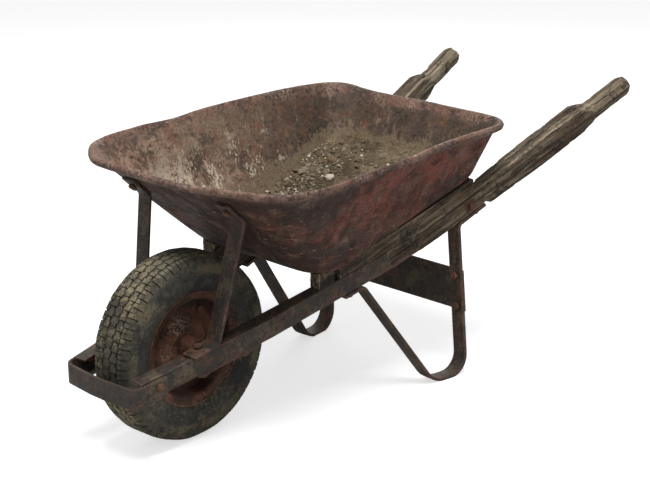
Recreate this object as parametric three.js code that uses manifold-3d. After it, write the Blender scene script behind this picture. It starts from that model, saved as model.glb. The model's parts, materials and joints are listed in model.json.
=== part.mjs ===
// A steel and timber wheelbarrow with a pressed tray, in millimetres, standing on z = 0
// X runs rearwards from the wheel to the handles, Y to the operator's right, Z up
import * as THREE from "three";
import { mergeVertices } from "three/addons/utils/BufferGeometryUtils.js";
import Module from "manifold-3d";

const wasm = await Module();
wasm.setup();

// Fits
const fitGap = 0.3;
const boreGap = 0.4;

// Wheel
const wheelRadius = 200;
const tyreHalfWidth = 52.5;
const treadHalfWidth = 48;
const treadDepth = 5;
const treadPitches = 42;
const tyreWall = 9;
const flankShare = 0.39;
const shoulderDrop = 21;
const treadEdgeDrop = 9;
const rimRadius = 121;
const beadSeatRadius = 103;
const rimHalfWidth = 41;
const rimSheet = 2.5;
const bossRadius = 78;
const bossRise = 13;
const rimBoltCircle = 81;
const rimBoltCount = 6;
const rimBoltStart = 54;
const hubRadius = 24;
const hubHalfLength = 57;
const hubWall = 7.5;
const bushLength = 22;
const axleRadius = 8;

// Frame rails, whose outer faces lie in two splayed planes
const railOuterAtWheel = 131.1;
const splayAngle = 7.435;
const railTopOverAxle = 36.8;
const railFrontPitch = 9.3;
const frontRun = 449;
const middleRun = 234;
const rearRun = 573;
const frameTurns = [5.9, 6.9, 0];
const channelHeight = 43;
const channelWidth = 32;
const channelWall = 4;
const channelBend = 2;
const webEnd = 432;
const flangeEnd = 512;

// Nose guard
const guardThickness = 6;
const guardHeight = 43;
const guardDrop = 5;
const guardLap = 59;
const guardReach = 14;
const guardBulge = 8;
const guardCorner = 15;
const guardBow = 300;

// Timber
const tenonStart = 262;
const tenonWidth = 25;
const handleWidth = 34;
const handleHeight = 45;
const handleNotchGap = 6;
const handleNotchRise = 11;
const handleFlareEnd = 850;
const handleRearWidth = 45;
const handleRearHeight = 63;
const shoulderStart = 1022;
const shoulderLength = 40;
const gripRadius = 24.5;
const gripDrop = 12;
const riserStart = 303;
const riserEnd = 686;
const riserWidth = 32;
const packingEdge = 1;
const packingGap = 0.75;
const packingStep = 5;
const blockStartLeft = 246;
const blockStartRight = 208;
const blockLength = 42;

// Tray
const sheet = 2;
const rimRollRadius = 8.5;
const rimRollSweep = 292;
const rimFront = -46;
const rimRear = 756;
const rimHalfFront = 297;
const rimHalfRear = 262;
const rimSideBow = 15;
const rimEndBow = 6;
const rimCornerFront = 100;
const rimCornerRear = 72;
const rimOverAxle = 356;
const rimPitch = 2.19;
const farRimLift = 14;
const frontRimLift = 8;
const rearRimDrop = 10;
const floorFront = 237;
const floorRear = 702;
const floorPastRailsFront = 10;
const floorInsideRailsRear = 1;
const floorCornerFront = 62;
const floorCornerRear = 50;
const floorOverAxle = 134;
const floorHeightAt = 312;
const floorPitch = 18.26;
const floorFillet = 24;
const frontFillet = 68;

// Dried soil
const soilDepth = 9;
const soilEdge = 2.5;
const soilSeat = 0.6;

// Legs
const strapWidth = 37;
const legThickness = 7;
const legLean = 2.3;
const legFlangeStart = 306;
const legFrontBend = 356;
const footFront = 566;
const footRear = 664;
const legRearBend = 626;
const legFlangeEnd = 706;
const legBendRadius = 12;
const footFrontRadius = 60;
const footRearRadius = 44;
const footWear = 1;

// Cross plate
const plateThickness = 3;
const plateBottom = 149;
const plateHeight = 98;
const plateBoltInset = 12;

// Braces
const braceThickness = 6;
const braceFootStart = -79;
const braceBend = -12;
const braceTopBend = 37;
const braceTopEnd = -8;
const braceTopY = 142;
const braceBendRadius = 9;
const braceSeatGap = 0.9;

// Axle brackets
const bracketThickness = 6;
const bracketInner = 78;
const bracketFront = -68;
const bracketRear = 80;
const bracketEyeRadius = 25;
const axleNutLength = 10;
const nutRadius = 13.5;
const axleTail = 3.5;

// Bolts
const boltRadius = 5;
const boltHeadRadius = 9.5;
const boltHeadHeight = 6.5;
const boltNutHeight = 8;
const boltTail = 3;
const screwDepth = 28;
const screwCover = 5;
const braceBoltPlace = -49;
const bracketBoltPlace = 52;
const noseBoltInset = 38;
const legFrontBoltPlace = 327;
const legTopBoltPlace = 685;
const handleBoltPlace = 666;
const handleBoltDrop = 25;
const washerSize = 26;
const washerThickness = 3;
const trayBoltPlaces = [375, 650];
const trayBoltHeadHeight = 4;
const trayBoltHeadRadius = 7;

// What follows from those sizes: the rails end level with the front of the tyre, the frame's nose and
// the tray are set from the axle, and the tray's floor is as wide as the rails that carry it
const railFront = -wheelRadius;
const noseBoltPlace = railFront + noseBoltInset;
const railSpread = Math.tan((splayAngle * Math.PI) / 180);
const floorHalfFront = railOuterAtWheel + railSpread * floorFront + floorPastRailsFront;
const floorHalfRear = railOuterAtWheel + railSpread * floorRear - floorInsideRailsRear;
const floorHeight = wheelRadius + floorOverAxle;
const rimHeight = wheelRadius + rimOverAxle;
const degrees = THREE.MathUtils.degToRad;
const lerp = THREE.MathUtils.lerp;
const point = (x, y, z) => new THREE.Vector3(x, y, z);

// Geometry helpers

// Turns a geometry's faces outwards when its signed volume is negative
function facingOut(geometry) {
  const { array } = geometry.attributes.position;
  const index = geometry.index.array;
  const corner = (i) => new THREE.Vector3().fromArray(array, index[i] * 3);
  let volume = 0;
  for (let i = 0; i < index.length; i += 3) {
    volume += corner(i).dot(corner(i + 1).cross(corner(i + 2)));
  }
  if (volume < 0) {
    index.reverse();
  }
  return geometry;
}

// Faces of a flat ring of points, anticlockwise about the ring's own normal
function capFaces(ring) {
  const normal = new THREE.Vector3();
  ring.forEach((p, i) => {
    const q = ring[(i + 1) % ring.length];
    normal.add(p.clone().sub(ring[0]).cross(q.clone().sub(ring[0])));
  });
  normal.normalize();
  const across = ring[1].clone().sub(ring[0]).projectOnPlane(normal).normalize();
  const up = normal.clone().cross(across);
  const flat = ring.map((p) => new THREE.Vector2(p.dot(across), p.dot(up)));
  return THREE.ShapeUtils.triangulateShape(flat, []);
}

// A closed skin through rings of points, with a cap on each end unless the rings join up
function loft(rings, joined = false) {
  const count = rings[0].length;
  const faces = [];
  const spans = joined ? rings.length : rings.length - 1;
  for (let i = 0; i < spans; i += 1) {
    const a = i * count;
    const b = ((i + 1) % rings.length) * count;
    for (let j = 0; j < count; j += 1) {
      const k = (j + 1) % count;
      faces.push(a + j, b + j, b + k, a + j, b + k, a + k);
    }
  }
  if (!joined) {
    const end = (rings.length - 1) * count;
    capFaces(rings[0]).forEach(([a, b, c]) => faces.push(a, b, c));
    capFaces(rings.at(-1)).forEach(([a, b, c]) => faces.push(end + c, end + b, end + a));
  }
  const positions = rings.flat().flatMap((p) => [p.x, p.y, p.z]);
  const geometry = new THREE.BufferGeometry();
  geometry.setAttribute("position", new THREE.Float32BufferAttribute(positions, 3));
  geometry.setIndex(new THREE.BufferAttribute(new Uint32Array(faces), 1));
  return facingOut(geometry);
}

// A geometry as a manifold-3d solid, and back
function solid(source) {
  const bare = source.clone();
  bare.deleteAttribute("normal");
  bare.deleteAttribute("uv");
  const geometry = facingOut(mergeVertices(bare, 1e-4));
  return new wasm.Manifold(
    new wasm.Mesh({
      numProp: 3,
      vertProperties: new Float32Array(geometry.attributes.position.array),
      triVerts: new Uint32Array(geometry.index.array),
    }),
  );
}

function geometryOf(manifold) {
  const made = manifold.getMesh();
  const geometry = new THREE.BufferGeometry();
  geometry.setAttribute("position", new THREE.BufferAttribute(made.vertProperties, 3));
  geometry.setIndex(new THREE.BufferAttribute(made.triVerts, 1));
  return geometry;
}

const unite = (...pieces) => geometryOf(wasm.Manifold.union(pieces.map(solid)));

// Stations along a line whose corners are rounded to the given radii
function roundedLine(corners, radii, step = 18) {
  const stations = [];
  corners.forEach(([x, y], i) => {
    const before = corners[i - 1];
    const after = corners[i + 1];
    const into = before && Math.atan2(y - before[1], x - before[0]);
    const out = after && Math.atan2(after[1] - y, after[0] - x);
    if (!before || !after) {
      stations.push({ x, y, angle: before ? into : out });
      return;
    }
    const turn = Math.atan2(Math.sin(out - into), Math.cos(out - into));
    const reach = radii[i] * Math.tan(Math.abs(turn) / 2);
    const side = Math.sign(turn);
    const centreX = x - reach * Math.cos(into) - side * radii[i] * Math.sin(into);
    const centreY = y - reach * Math.sin(into) + side * radii[i] * Math.cos(into);
    const steps = Math.max(1, Math.ceil(Math.abs(turn) / degrees(step)));
    for (let k = 0; k <= steps; k += 1) {
      const angle = into + (turn * k) / steps;
      stations.push({
        x: centreX + side * radii[i] * Math.sin(angle),
        y: centreY - side * radii[i] * Math.cos(angle),
        angle,
      });
    }
  });
  return stations;
}

// A flat section [v, n] carried along stations of the u-z plane; shift moves a ring sideways
function sweep(section, stations, shift = () => 0) {
  return loft(
    stations.map((s) =>
      section.map(([v, n]) =>
        point(s.x - n * Math.sin(s.angle), v + shift(s), s.y + n * Math.cos(s.angle)),
      ),
    ),
  );
}

// A rectangle with round corners as a ring of [v, n], three points to a corner
function roundedSection(outer, inner, bottom, top, radius) {
  const ring = [];
  const corners = [
    [inner - radius, top - radius, 0],
    [outer + radius, top - radius, 90],
    [outer + radius, bottom + radius, 180],
    [inner - radius, bottom + radius, 270],
  ];
  for (const [v, n, start] of corners) {
    for (let k = 0; k < 3; k += 1) {
      const angle = degrees(start + k * 45);
      ring.push([v + radius * Math.cos(angle), n + radius * Math.sin(angle)]);
    }
  }
  return ring;
}

// Frame line: the top outer edge that rails and handles share, in the plane of a side

const frameLine = [{ x: railFront, y: 0, angle: degrees(railFrontPitch) }];
[frontRun - railFront, middleRun, rearRun].forEach((length, i) => {
  const turn = frameTurns[i];
  const steps = Math.max(1, Math.ceil(turn / 1.6));
  for (let k = 0; k < steps; k += 1) {
    const last = frameLine.at(-1);
    const half = degrees(turn) / steps / 2;
    frameLine.push({
      x: last.x + (length / steps) * Math.cos(last.angle + half),
      y: last.y + (length / steps) * Math.sin(last.angle + half),
      angle: last.angle + half * 2,
    });
  }
});

function frameAt(u) {
  const next = Math.max(1, frameLine.findIndex((s) => s.x >= u));
  const a = frameLine[next - 1];
  const b = frameLine[next];
  const t = (u - a.x) / (b.x - a.x);
  return { x: u, y: lerp(a.y, b.y, t), angle: lerp(a.angle, b.angle, t) };
}

// The axle's height sets the line's
const frameLift = wheelRadius + railTopOverAxle - frameAt(0).y;
frameLine.forEach((s) => {
  s.y += frameLift;
});

const frameStretch = (from, to) => [
  frameAt(from),
  ...frameLine.filter((s) => s.x > from + 1 && s.x < to - 1),
  frameAt(to),
];

// A point of the side plane at a distance along and off the frame line
function offFrame(u, offset) {
  const s = frameAt(u);
  return [u - offset * Math.sin(s.angle), s.y + offset * Math.cos(s.angle)];
}

// Frames: a side's plane, its leg's leaning plane, and the tray's own upright frame

const upright = new THREE.Matrix4();
const sideFrame = new THREE.Matrix4()
  .makeTranslation(0, -railOuterAtWheel, 0)
  .multiply(new THREE.Matrix4().makeRotationZ(-degrees(splayAngle)));
const legHeel = offFrame(legFlangeStart, -channelHeight);
const legToe = offFrame(legFlangeEnd, -handleHeight);
const legSlope = Math.atan2(legToe[1] - legHeel[1], legToe[0] - legHeel[0]);
const legFrame = sideFrame
  .clone()
  .multiply(new THREE.Matrix4().makeTranslation(legHeel[0], 0, legHeel[1]))
  .multiply(new THREE.Matrix4().makeRotationY(-legSlope))
  .multiply(new THREE.Matrix4().makeRotationX(-degrees(legLean)))
  .multiply(new THREE.Matrix4().makeRotationY(legSlope))
  .multiply(new THREE.Matrix4().makeTranslation(-legHeel[0], 0, -legHeel[1]));

// Bolts: each has its place in a frame, its stack of plates and what its end looks like

function boltAt(frame, at, direction, grip, shape = {}) {
  const turn = new THREE.Quaternion().setFromUnitVectors(point(0, 0, 1), direction.normalize());
  const matrix = frame.clone().multiply(
    new THREE.Matrix4().compose(at, turn, point(1, 1, 1)),
  );
  return { matrix, grip, nut: true, head: "hex", radius: boltRadius, ...shape };
}

function prism(sides, radius, from, to) {
  const geometry = new THREE.CylinderGeometry(radius, radius, to - from, sides);
  geometry.rotateX(Math.PI / 2);
  geometry.translate(0, 0, (from + to) / 2);
  return geometry;
}

function dome(radius, height) {
  const profile = [];
  for (let k = 0; k <= 3; k += 1) {
    const angle = (k * Math.PI) / 6;
    profile.push(new THREE.Vector2(radius * Math.sin(angle), -height * Math.cos(angle)));
  }
  profile.push(new THREE.Vector2(0, 0));
  const geometry = new THREE.LatheGeometry(profile, 10);
  geometry.rotateX(Math.PI / 2);
  return geometry;
}

function boltGeometry(bolt) {
  const end = bolt.nut ? bolt.grip + boltNutHeight + boltTail : bolt.grip;
  const headHeight = bolt.headHeight ?? boltHeadHeight;
  const headRadius = bolt.headRadius ?? boltHeadRadius;
  const head =
    bolt.head === "hex" ? prism(6, headRadius, -headHeight, 0) : dome(headRadius, headHeight);
  const pieces = [head, prism(6, bolt.radius, -1, end)];
  if (bolt.nut) {
    pieces.push(prism(6, boltHeadRadius, bolt.grip, bolt.grip + boltNutHeight));
  }
  return unite(...pieces);
}

// Cuts the bolts' holes in a piece that is drawn in the given frame
function drill(geometry, frame, bolts, past = 1) {
  const back = frame.clone().invert();
  const cutters = bolts.map((bolt) => {
    const cutter = prism(6, bolt.radius + boreGap, -past, bolt.grip + past);
    return solid(cutter.applyMatrix4(back.clone().multiply(bolt.matrix)));
  });
  return geometryOf(wasm.Manifold.difference([solid(geometry), ...cutters]));
}

const mirror = new THREE.Matrix4().makeScale(1, -1, 1);
const mirrored = (bolt) => ({ ...bolt, matrix: mirror.clone().multiply(bolt.matrix) });

// Materials

const finish = (color, roughness, metalness) =>
  new THREE.MeshStandardMaterial({ color, roughness, metalness });
const fadedRedPaint = finish(0x6e3e37, 0.75, 0.25);
const rustySteel = finish(0x4b4137, 0.8, 0.45);
const rustedRim = finish(0x5f3226, 0.85, 0.35);
const weatheredTimber = finish(0x695a46, 0.9, 0);
const agedRubber = finish(0x3c3d38, 0.9, 0);
const driedMud = finish(0x786c50, 1, 0);
const rustyBolt = finish(0x5a463a, 0.75, 0.5);

const barrow = new THREE.Group();

function add(name, geometry, material, parent = barrow) {
  const mesh = new THREE.Mesh(geometry, material);
  mesh.name = name;
  parent.add(mesh);
  return mesh;
}

// Tray: a pressed sheet with a sloping floor and a rolled rim

const floorSlope = Math.tan(degrees(floorPitch));
const floorUnder = (x) => floorHeight + floorSlope * (x - floorHeightAt);

// A trapezoid with round corners, the same count of points on each stretch
function trayOutline(front, rear, halfFront, halfRear, cornerFront, cornerRear, sideBow, endBow) {
  const half = [];
  const stretch = (from, to, count) => {
    for (let k = 0; k < count; k += 1) {
      half.push([lerp(from[0], to[0], k / count), lerp(from[1], to[1], k / count)]);
    }
  };
  const corner = (centreX, centreY, radius, start, count) => {
    for (let k = 0; k < count; k += 1) {
      const angle = degrees(start - (90 * k) / count);
      half.push([centreX + radius * Math.cos(angle), centreY + radius * Math.sin(angle)]);
    }
  };
  const narrowing = (halfFront - halfRear) / (rear - front);
  const sideFront = halfFront - narrowing * cornerFront;
  const sideRear = halfRear + narrowing * cornerRear;
  stretch([front, 0], [front, halfFront - cornerFront], 4);
  corner(front + cornerFront, sideFront - cornerFront, cornerFront, 180, 6);
  stretch([front + cornerFront, sideFront], [rear - cornerRear, sideRear], 12);
  corner(rear - cornerRear, sideRear - cornerRear, cornerRear, 90, 5);
  stretch([rear, sideRear - cornerRear], [rear, 0], 4);
  half.push([rear, 0]);
  const bowed = half.map(([x, y]) => {
    const along = THREE.MathUtils.clamp((x - front) / (rear - front), 0, 1);
    const across = Math.min(1, y / halfRear);
    const end = endBow * (1 - across * across);
    const outwards = along < 0.5 ? -end : end;
    return [x + outwards * Math.abs(2 * along - 1) ** 4, y + sideBow * Math.sin(Math.PI * along) * across ** 2];
  });
  const left = bowed.slice(1, -1).map(([x, y]) => [x, -y]).reverse();
  return [...bowed, ...left];
}

const rimOutline = trayOutline(
  rimFront, rimRear, rimHalfFront, rimHalfRear, rimCornerFront, rimCornerRear, rimSideBow, rimEndBow,
);
const floorOutline = trayOutline(
  floorFront, floorRear, floorHalfFront, floorHalfRear, floorCornerFront, floorCornerRear, 0, 0,
);

// Dents: share of the length, of the half width on the left and of the climb, push and spread
const dents = [
  { share: 0.66, across: 1, climb: 1, push: point(-4, 19, -5), spread: rimCornerRear * 0.86 },
  { share: 0.47, across: 1, climb: 0.5, push: point(0, 5, 1), spread: rimCornerRear * 0.83 },
  { share: 0, across: 0.74, climb: 1, push: point(0, 0, 13), spread: rimCornerFront * 0.95 },
  { share: 0.04, across: -0.9, climb: 1, push: point(9, -8, 0), spread: rimCornerFront },
].map((dent) => {
  const x = lerp(rimFront, rimRear, dent.share);
  const rim = point(x, -dent.across * lerp(rimHalfFront, rimHalfRear, dent.share), rimHeight);
  const floor = point(x, -dent.across * lerp(floorHalfFront, floorHalfRear, dent.share), floorUnder(x));
  return { ...dent, at: floor.lerp(rim, dent.climb) };
});

function dented(p) {
  const moved = p.clone();
  for (const { at, push, spread } of dents) {
    moved.addScaledVector(push, Math.exp(-(p.distanceTo(at) ** 2) / (spread * spread)));
  }
  return moved;
}

// One upright profile for each point of the outline, from the floor to the rim's roll
const trayProfiles = rimOutline.map(([rimX, rimY], i) => {
  const [floorX, floorY] = floorOutline[i];
  const corner = point(floorX, floorY, floorUnder(floorX));
  const farShare = THREE.MathUtils.smoothstep(rimY, braceTopY + 20, rimHalfRear);
  const frontShare = 1 - THREE.MathUtils.smoothstep(rimX, rimFront, rimFront + 2 * rimCornerFront);
  const lift =
    Math.max(farRimLift * farShare, frontRimLift * frontShare) -
    rearRimDrop * THREE.MathUtils.smoothstep(rimX, rimRear - 3 * rimCornerRear, rimRear);
  const rollZ = rimHeight + Math.tan(degrees(rimPitch)) * rimX + lift;
  const rollCentre = point(rimX, rimY, rollZ);
  const outward = point(rimX - floorX, rimY - floorY, 0).normalize();
  const inwardOf = (heading) =>
    outward
      .clone()
      .multiplyScalar(-heading.z)
      .add(point(0, 0, heading.dot(outward)));
  const rough = rollCentre.clone().sub(corner).normalize();
  const top = rollCentre.clone().addScaledVector(inwardOf(rough), rimRollRadius - sheet);
  const up = top.clone().sub(corner).normalize();
  const before = rimOutline.at(i - 1);
  const after = rimOutline[(i + 1) % rimOutline.length];
  const frontness = Math.max(0, after[1] - before[1]) / Math.hypot(after[0] - before[0], after[1] - before[1]);
  const fillet = lerp(floorFillet, frontFillet, frontness ** 2);
  const inner = corner.clone().addScaledVector(outward, -fillet);
  inner.z = floorUnder(inner.x);
  const bendEnd = corner.clone().addScaledVector(up, fillet);
  return { corner, inner, bendEnd, top, up, frontness, inwardOf };
});

// A point of a profile: t runs 0 to 1 through the floor bend and 1 to 2 up the wall
function profilePoint(profile, t, depth) {
  const { corner, inner, bendEnd, top, up, inwardOf } = profile;
  if (t >= 1) {
    const at = bendEnd.clone().lerp(top, t - 1);
    return at.addScaledVector(inwardOf(up), depth);
  }
  const a = inner.clone().lerp(corner, t);
  const b = corner.clone().lerp(bendEnd, t);
  const heading = b.clone().sub(a).normalize();
  return a.lerp(b, t).addScaledVector(inwardOf(heading), depth);
}

// The steps of t at which the pressed sheet has its rings, and a point on the facets between them
const trayClimb = [0, 0.25, 0.5, 0.75, 1, 1.5, 2];
function facetPoint(profile, t, depth) {
  const k = Math.min(trayClimb.length - 2, trayClimb.findLastIndex((step) => step <= t));
  const share = (t - trayClimb[k]) / (trayClimb[k + 1] - trayClimb[k]);
  const low = profilePoint(profile, trayClimb[k], depth);
  return low.lerp(profilePoint(profile, trayClimb[k + 1], depth), share);
}

function rollPoint(profile, radius, angle) {
  const across = profile.inwardOf(profile.up);
  return profile.top
    .clone()
    .addScaledVector(across, sheet - rimRollRadius)
    .addScaledVector(across, radius * Math.cos(angle))
    .addScaledVector(profile.up, radius * Math.sin(angle));
}

function trayGeometry() {
  const climb = trayClimb.slice(0, -1);
  const rollSteps = 6;
  const rollAngles = Array.from({ length: rollSteps + 1 }, (_, k) =>
    degrees((rimRollSweep * k) / rollSteps),
  );
  const rings = [
    ...climb.map((t) => trayProfiles.map((p) => profilePoint(p, t, 0))),
    ...rollAngles.map((a) => trayProfiles.map((p) => rollPoint(p, rimRollRadius - sheet, a))),
    ...rollAngles
      .toReversed()
      .map((a) => trayProfiles.map((p) => rollPoint(p, rimRollRadius, a))),
    ...climb.toReversed().map((t) => trayProfiles.map((p) => profilePoint(p, t, sheet))),
  ];
  return loft(rings.map((ring) => ring.map(dented)));
}

// Dried soil lies on the floor and some way up the front wall

const soilRipple = (x, y) =>
  1.6 * Math.sin(x / 23 + Math.sin(y / 31) * 1.7) + 1.5 * Math.sin(y / 19 - Math.cos(x / 37) * 2);
const mound = (x, y, rise, spread) => rise * Math.exp(-(x ** 2 + y ** 2) / spread ** 2);
const soilHeap = (x, y) =>
  mound(x - floorRear + 92, y - floorHalfRear * 0.43, soilDepth * 1.1, floorHalfRear * 0.4) +
  mound(x - floorFront - 80, y + 20, soilDepth * 0.8, floorHalfRear * 0.54);

function soilGeometry() {
  const climbOf = (profile) => {
    const sideways = Math.sin(profile.corner.y / 27) * 0.05;
    return 0.86 + 0.42 * profile.frontness ** 1.5 + sideways;
  };
  const under = sheet + soilSeat;
  const ringAt = (share, depth) =>
    trayProfiles.map((p) => facetPoint(p, share * climbOf(p), depth));
  const bottom = [0, 0.33, 0.66, 1].map((share) => ringAt(share, under));
  const top = [1, 0.66, 0.33, 0].map((share) =>
    ringAt(share, under + lerp(soilDepth, soilEdge, share)),
  );
  const centre = point((floorFront + floorRear) / 2, 0, 0);
  const inner = [0.72, 0.45, 0.2].map((share) =>
    trayProfiles.map((p) => {
      const x = lerp(centre.x, p.inner.x, share);
      const y = lerp(centre.y, p.inner.y, share);
      const z = floorUnder(x) + under + soilDepth + soilRipple(x, y) + soilHeap(x, y);
      return point(x, y, z);
    }),
  );
  return loft([...bottom, ...top, ...inner].map((ring) => ring.map(dented)));
}

// The height of the tray's underside above a place, and its slope along X there
const traySkin = new THREE.Mesh(
  trayGeometry(),
  new THREE.MeshBasicMaterial({ side: THREE.DoubleSide }),
);
function trayUnder(x, y) {
  const ray = new THREE.Raycaster(point(x, y, 0), point(0, 0, 1));
  return ray.intersectObject(traySkin)[0].point.z;
}

// Braces, from the rail's top flange up to the tray's front wall; each side's wall has its own dents

const braceFootLift = fitGap + braceThickness / 2;
const braceFoot = offFrame(braceFootStart, braceFootLift);
const braceHeel = offFrame(braceBend, braceFootLift);
const braceFootY = -railOuterAtWheel + channelWidth / 2 - railSpread * braceBend;

function braceOn(sign) {
  const edges = [-strapWidth / 2, 0, strapWidth / 2].map((half) => -sign * (braceTopY + half));
  const under = (x) => Math.min(...edges.map((y) => trayUnder(x, y)));
  const seat = (x) => {
    const wallAngle = Math.atan2(under(x + 5) - under(x - 5), 10);
    const drop = (braceSeatGap + braceThickness / 2) / Math.cos(wallAngle);
    return [x, under(x) - drop];
  };
  const knee = seat(braceTopBend);
  const line = roundedLine(
    [braceFoot, braceHeel, knee, seat(braceTopEnd)],
    [0, braceBendRadius, braceBendRadius, 0],
    25,
  );
  const sideways = (s) => {
    const share = THREE.MathUtils.clamp((s.y - braceHeel[1]) / (knee[1] - braceHeel[1]), 0, 1);
    return lerp(braceFootY, -braceTopY, share);
  };
  const boltX = (braceTopBend + braceTopEnd) / 2 - 3;
  const wallAngle = Math.atan2(under(boltX + 6) - under(boltX - 6), 12);
  const normal = point(-Math.sin(wallAngle), 0, Math.cos(wallAngle));
  const place = point(boltX, -braceTopY, under(boltX));
  place.addScaledVector(normal, -braceThickness - 2 * fitGap - 1.4);
  const tilt = Math.max(...edges.map((y) => trayUnder(boltX, y))) - under(boltX);
  const bolt = boltAt(upright, place, normal, braceThickness + sheet + tilt + 3 * fitGap + 2.4);
  return { line, sideways, bolt };
}

const braces = { left: braceOn(1), right: braceOn(-1) };

// Bolts of the left side; the right side's are their mirror images

const along = (angle) => point(Math.cos(angle), 0, Math.sin(angle));
const downAt = (u) => {
  const { angle } = frameAt(u);
  return point(Math.sin(angle), 0, -Math.cos(angle));
};
const sideBolt = (u, v, offset, direction, grip, shape) => {
  const [x, z] = offFrame(u, offset);
  return boltAt(sideFrame, point(x, v, z), direction, grip, shape);
};
const channelMiddle = (channelWidth + channelWall) / 2;

const noseBolt = sideBolt(
  noseBoltPlace, -guardThickness - 2 * fitGap, -channelHeight / 2, point(0, 1, 0),
  guardThickness + channelWall + 3 * fitGap, { head: "dome", headHeight: 5 },
);
const braceFootBolt = sideBolt(
  braceBoltPlace, channelMiddle, braceThickness + 5 * fitGap, downAt(braceBoltPlace),
  braceThickness + channelHeight + bracketThickness + 7 * fitGap,
);
const bracketBolt = sideBolt(
  bracketBoltPlace, channelMiddle, channelWall - channelHeight + fitGap, downAt(bracketBoltPlace),
  channelWall + bracketThickness + 3 * fitGap,
);
const legFrontBolt = sideBolt(
  legFrontBoltPlace, channelMiddle, -channelHeight - legThickness - 2.4, downAt(legFrontBoltPlace).negate(),
  screwDepth + legThickness, { nut: false },
);
const legTopBolt = sideBolt(
  legTopBoltPlace, handleWidth / 2, -handleHeight - legThickness - 2.4, downAt(legTopBoltPlace).negate(),
  screwDepth + legThickness, { nut: false },
);
const handleBolt = sideBolt(
  handleBoltPlace, -washerThickness - 2 * fitGap, -handleBoltDrop, point(0, 1, 0),
  washerThickness + handleWidth + 3 * fitGap,
);
const floorNormal = along(degrees(floorPitch) - Math.PI / 2);
const trayBolts = trayBoltPlaces.map((u) => {
  const v = riserWidth * 0.86;
  const place = point(u, v, 0).applyMatrix4(sideFrame);
  place.z = floorUnder(place.x);
  const overRail = place.z - frameAt(u).y - screwCover;
  const depth = u < webEnd ? overRail : screwDepth;
  place.addScaledVector(floorNormal, -sheet - 2 * fitGap);
  return boltAt(upright, place, floorNormal.clone(), sheet + depth, {
    nut: false, head: "dome", headHeight: trayBoltHeadHeight, headRadius: trayBoltHeadRadius, radius: 4,
  });
});

// Leg line, from under the rail down to the foot and up again to under the handle

const legDrop = fitGap + legThickness / 2;
const legCorners = [
  offFrame(legFlangeStart, -channelHeight - legDrop),
  offFrame(legFrontBend, -channelHeight - legDrop),
  [footFront, legThickness / 2 - footWear],
  [footRear, legThickness / 2 - footWear],
  offFrame(legRearBend, -handleHeight - legDrop),
  offFrame(legFlangeEnd, -handleHeight - legDrop),
];
const legLine = roundedLine(
  legCorners,
  [0, legBendRadius, footFrontRadius, footRearRadius, legBendRadius, 0],
  16,
);
const uprightAngle = Math.atan2(
  legCorners[4][1] - legCorners[3][1],
  legCorners[4][0] - legCorners[3][0],
);
const uprightX = (z) =>
  legCorners[3][0] + (z - legCorners[3][1]) / Math.tan(uprightAngle);
const uprightBack = point(Math.sin(uprightAngle), 0, -Math.cos(uprightAngle));
const legFace = (z, offset) => point(uprightX(z), strapWidth / 2, z).addScaledVector(uprightBack, offset);
const plateBolts = [plateBottom + plateHeight - plateBoltInset, plateBottom + plateBoltInset].map((z) =>
  boltAt(
    legFrame, legFace(z, -legThickness / 2 - fitGap), uprightBack.clone(),
    legThickness + plateThickness + 3 * fitGap,
  ),
);

// Side pieces, drawn once for the left and mirrored for the right

function railGeometry() {
  const w = channelWidth;
  const h = channelHeight;
  const t = channelWall;
  const b = channelBend;
  const channel = [
    [b, 0], [w, 0], [w, -t], [t, -t], [t, t - h], [w, t - h], [w, -h], [b, -h], [0, b - h], [0, -b],
  ];
  const flange = [[b, t - h], [w, t - h], [w, -h], [b, -h]];
  return drill(
    unite(
      sweep(channel, frameStretch(railFront, webEnd)),
      sweep(flange, frameStretch(webEnd - 10, flangeEnd)),
    ),
    sideFrame,
    [noseBolt, braceFootBolt, bracketBolt, legFrontBolt],
  );
}

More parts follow.
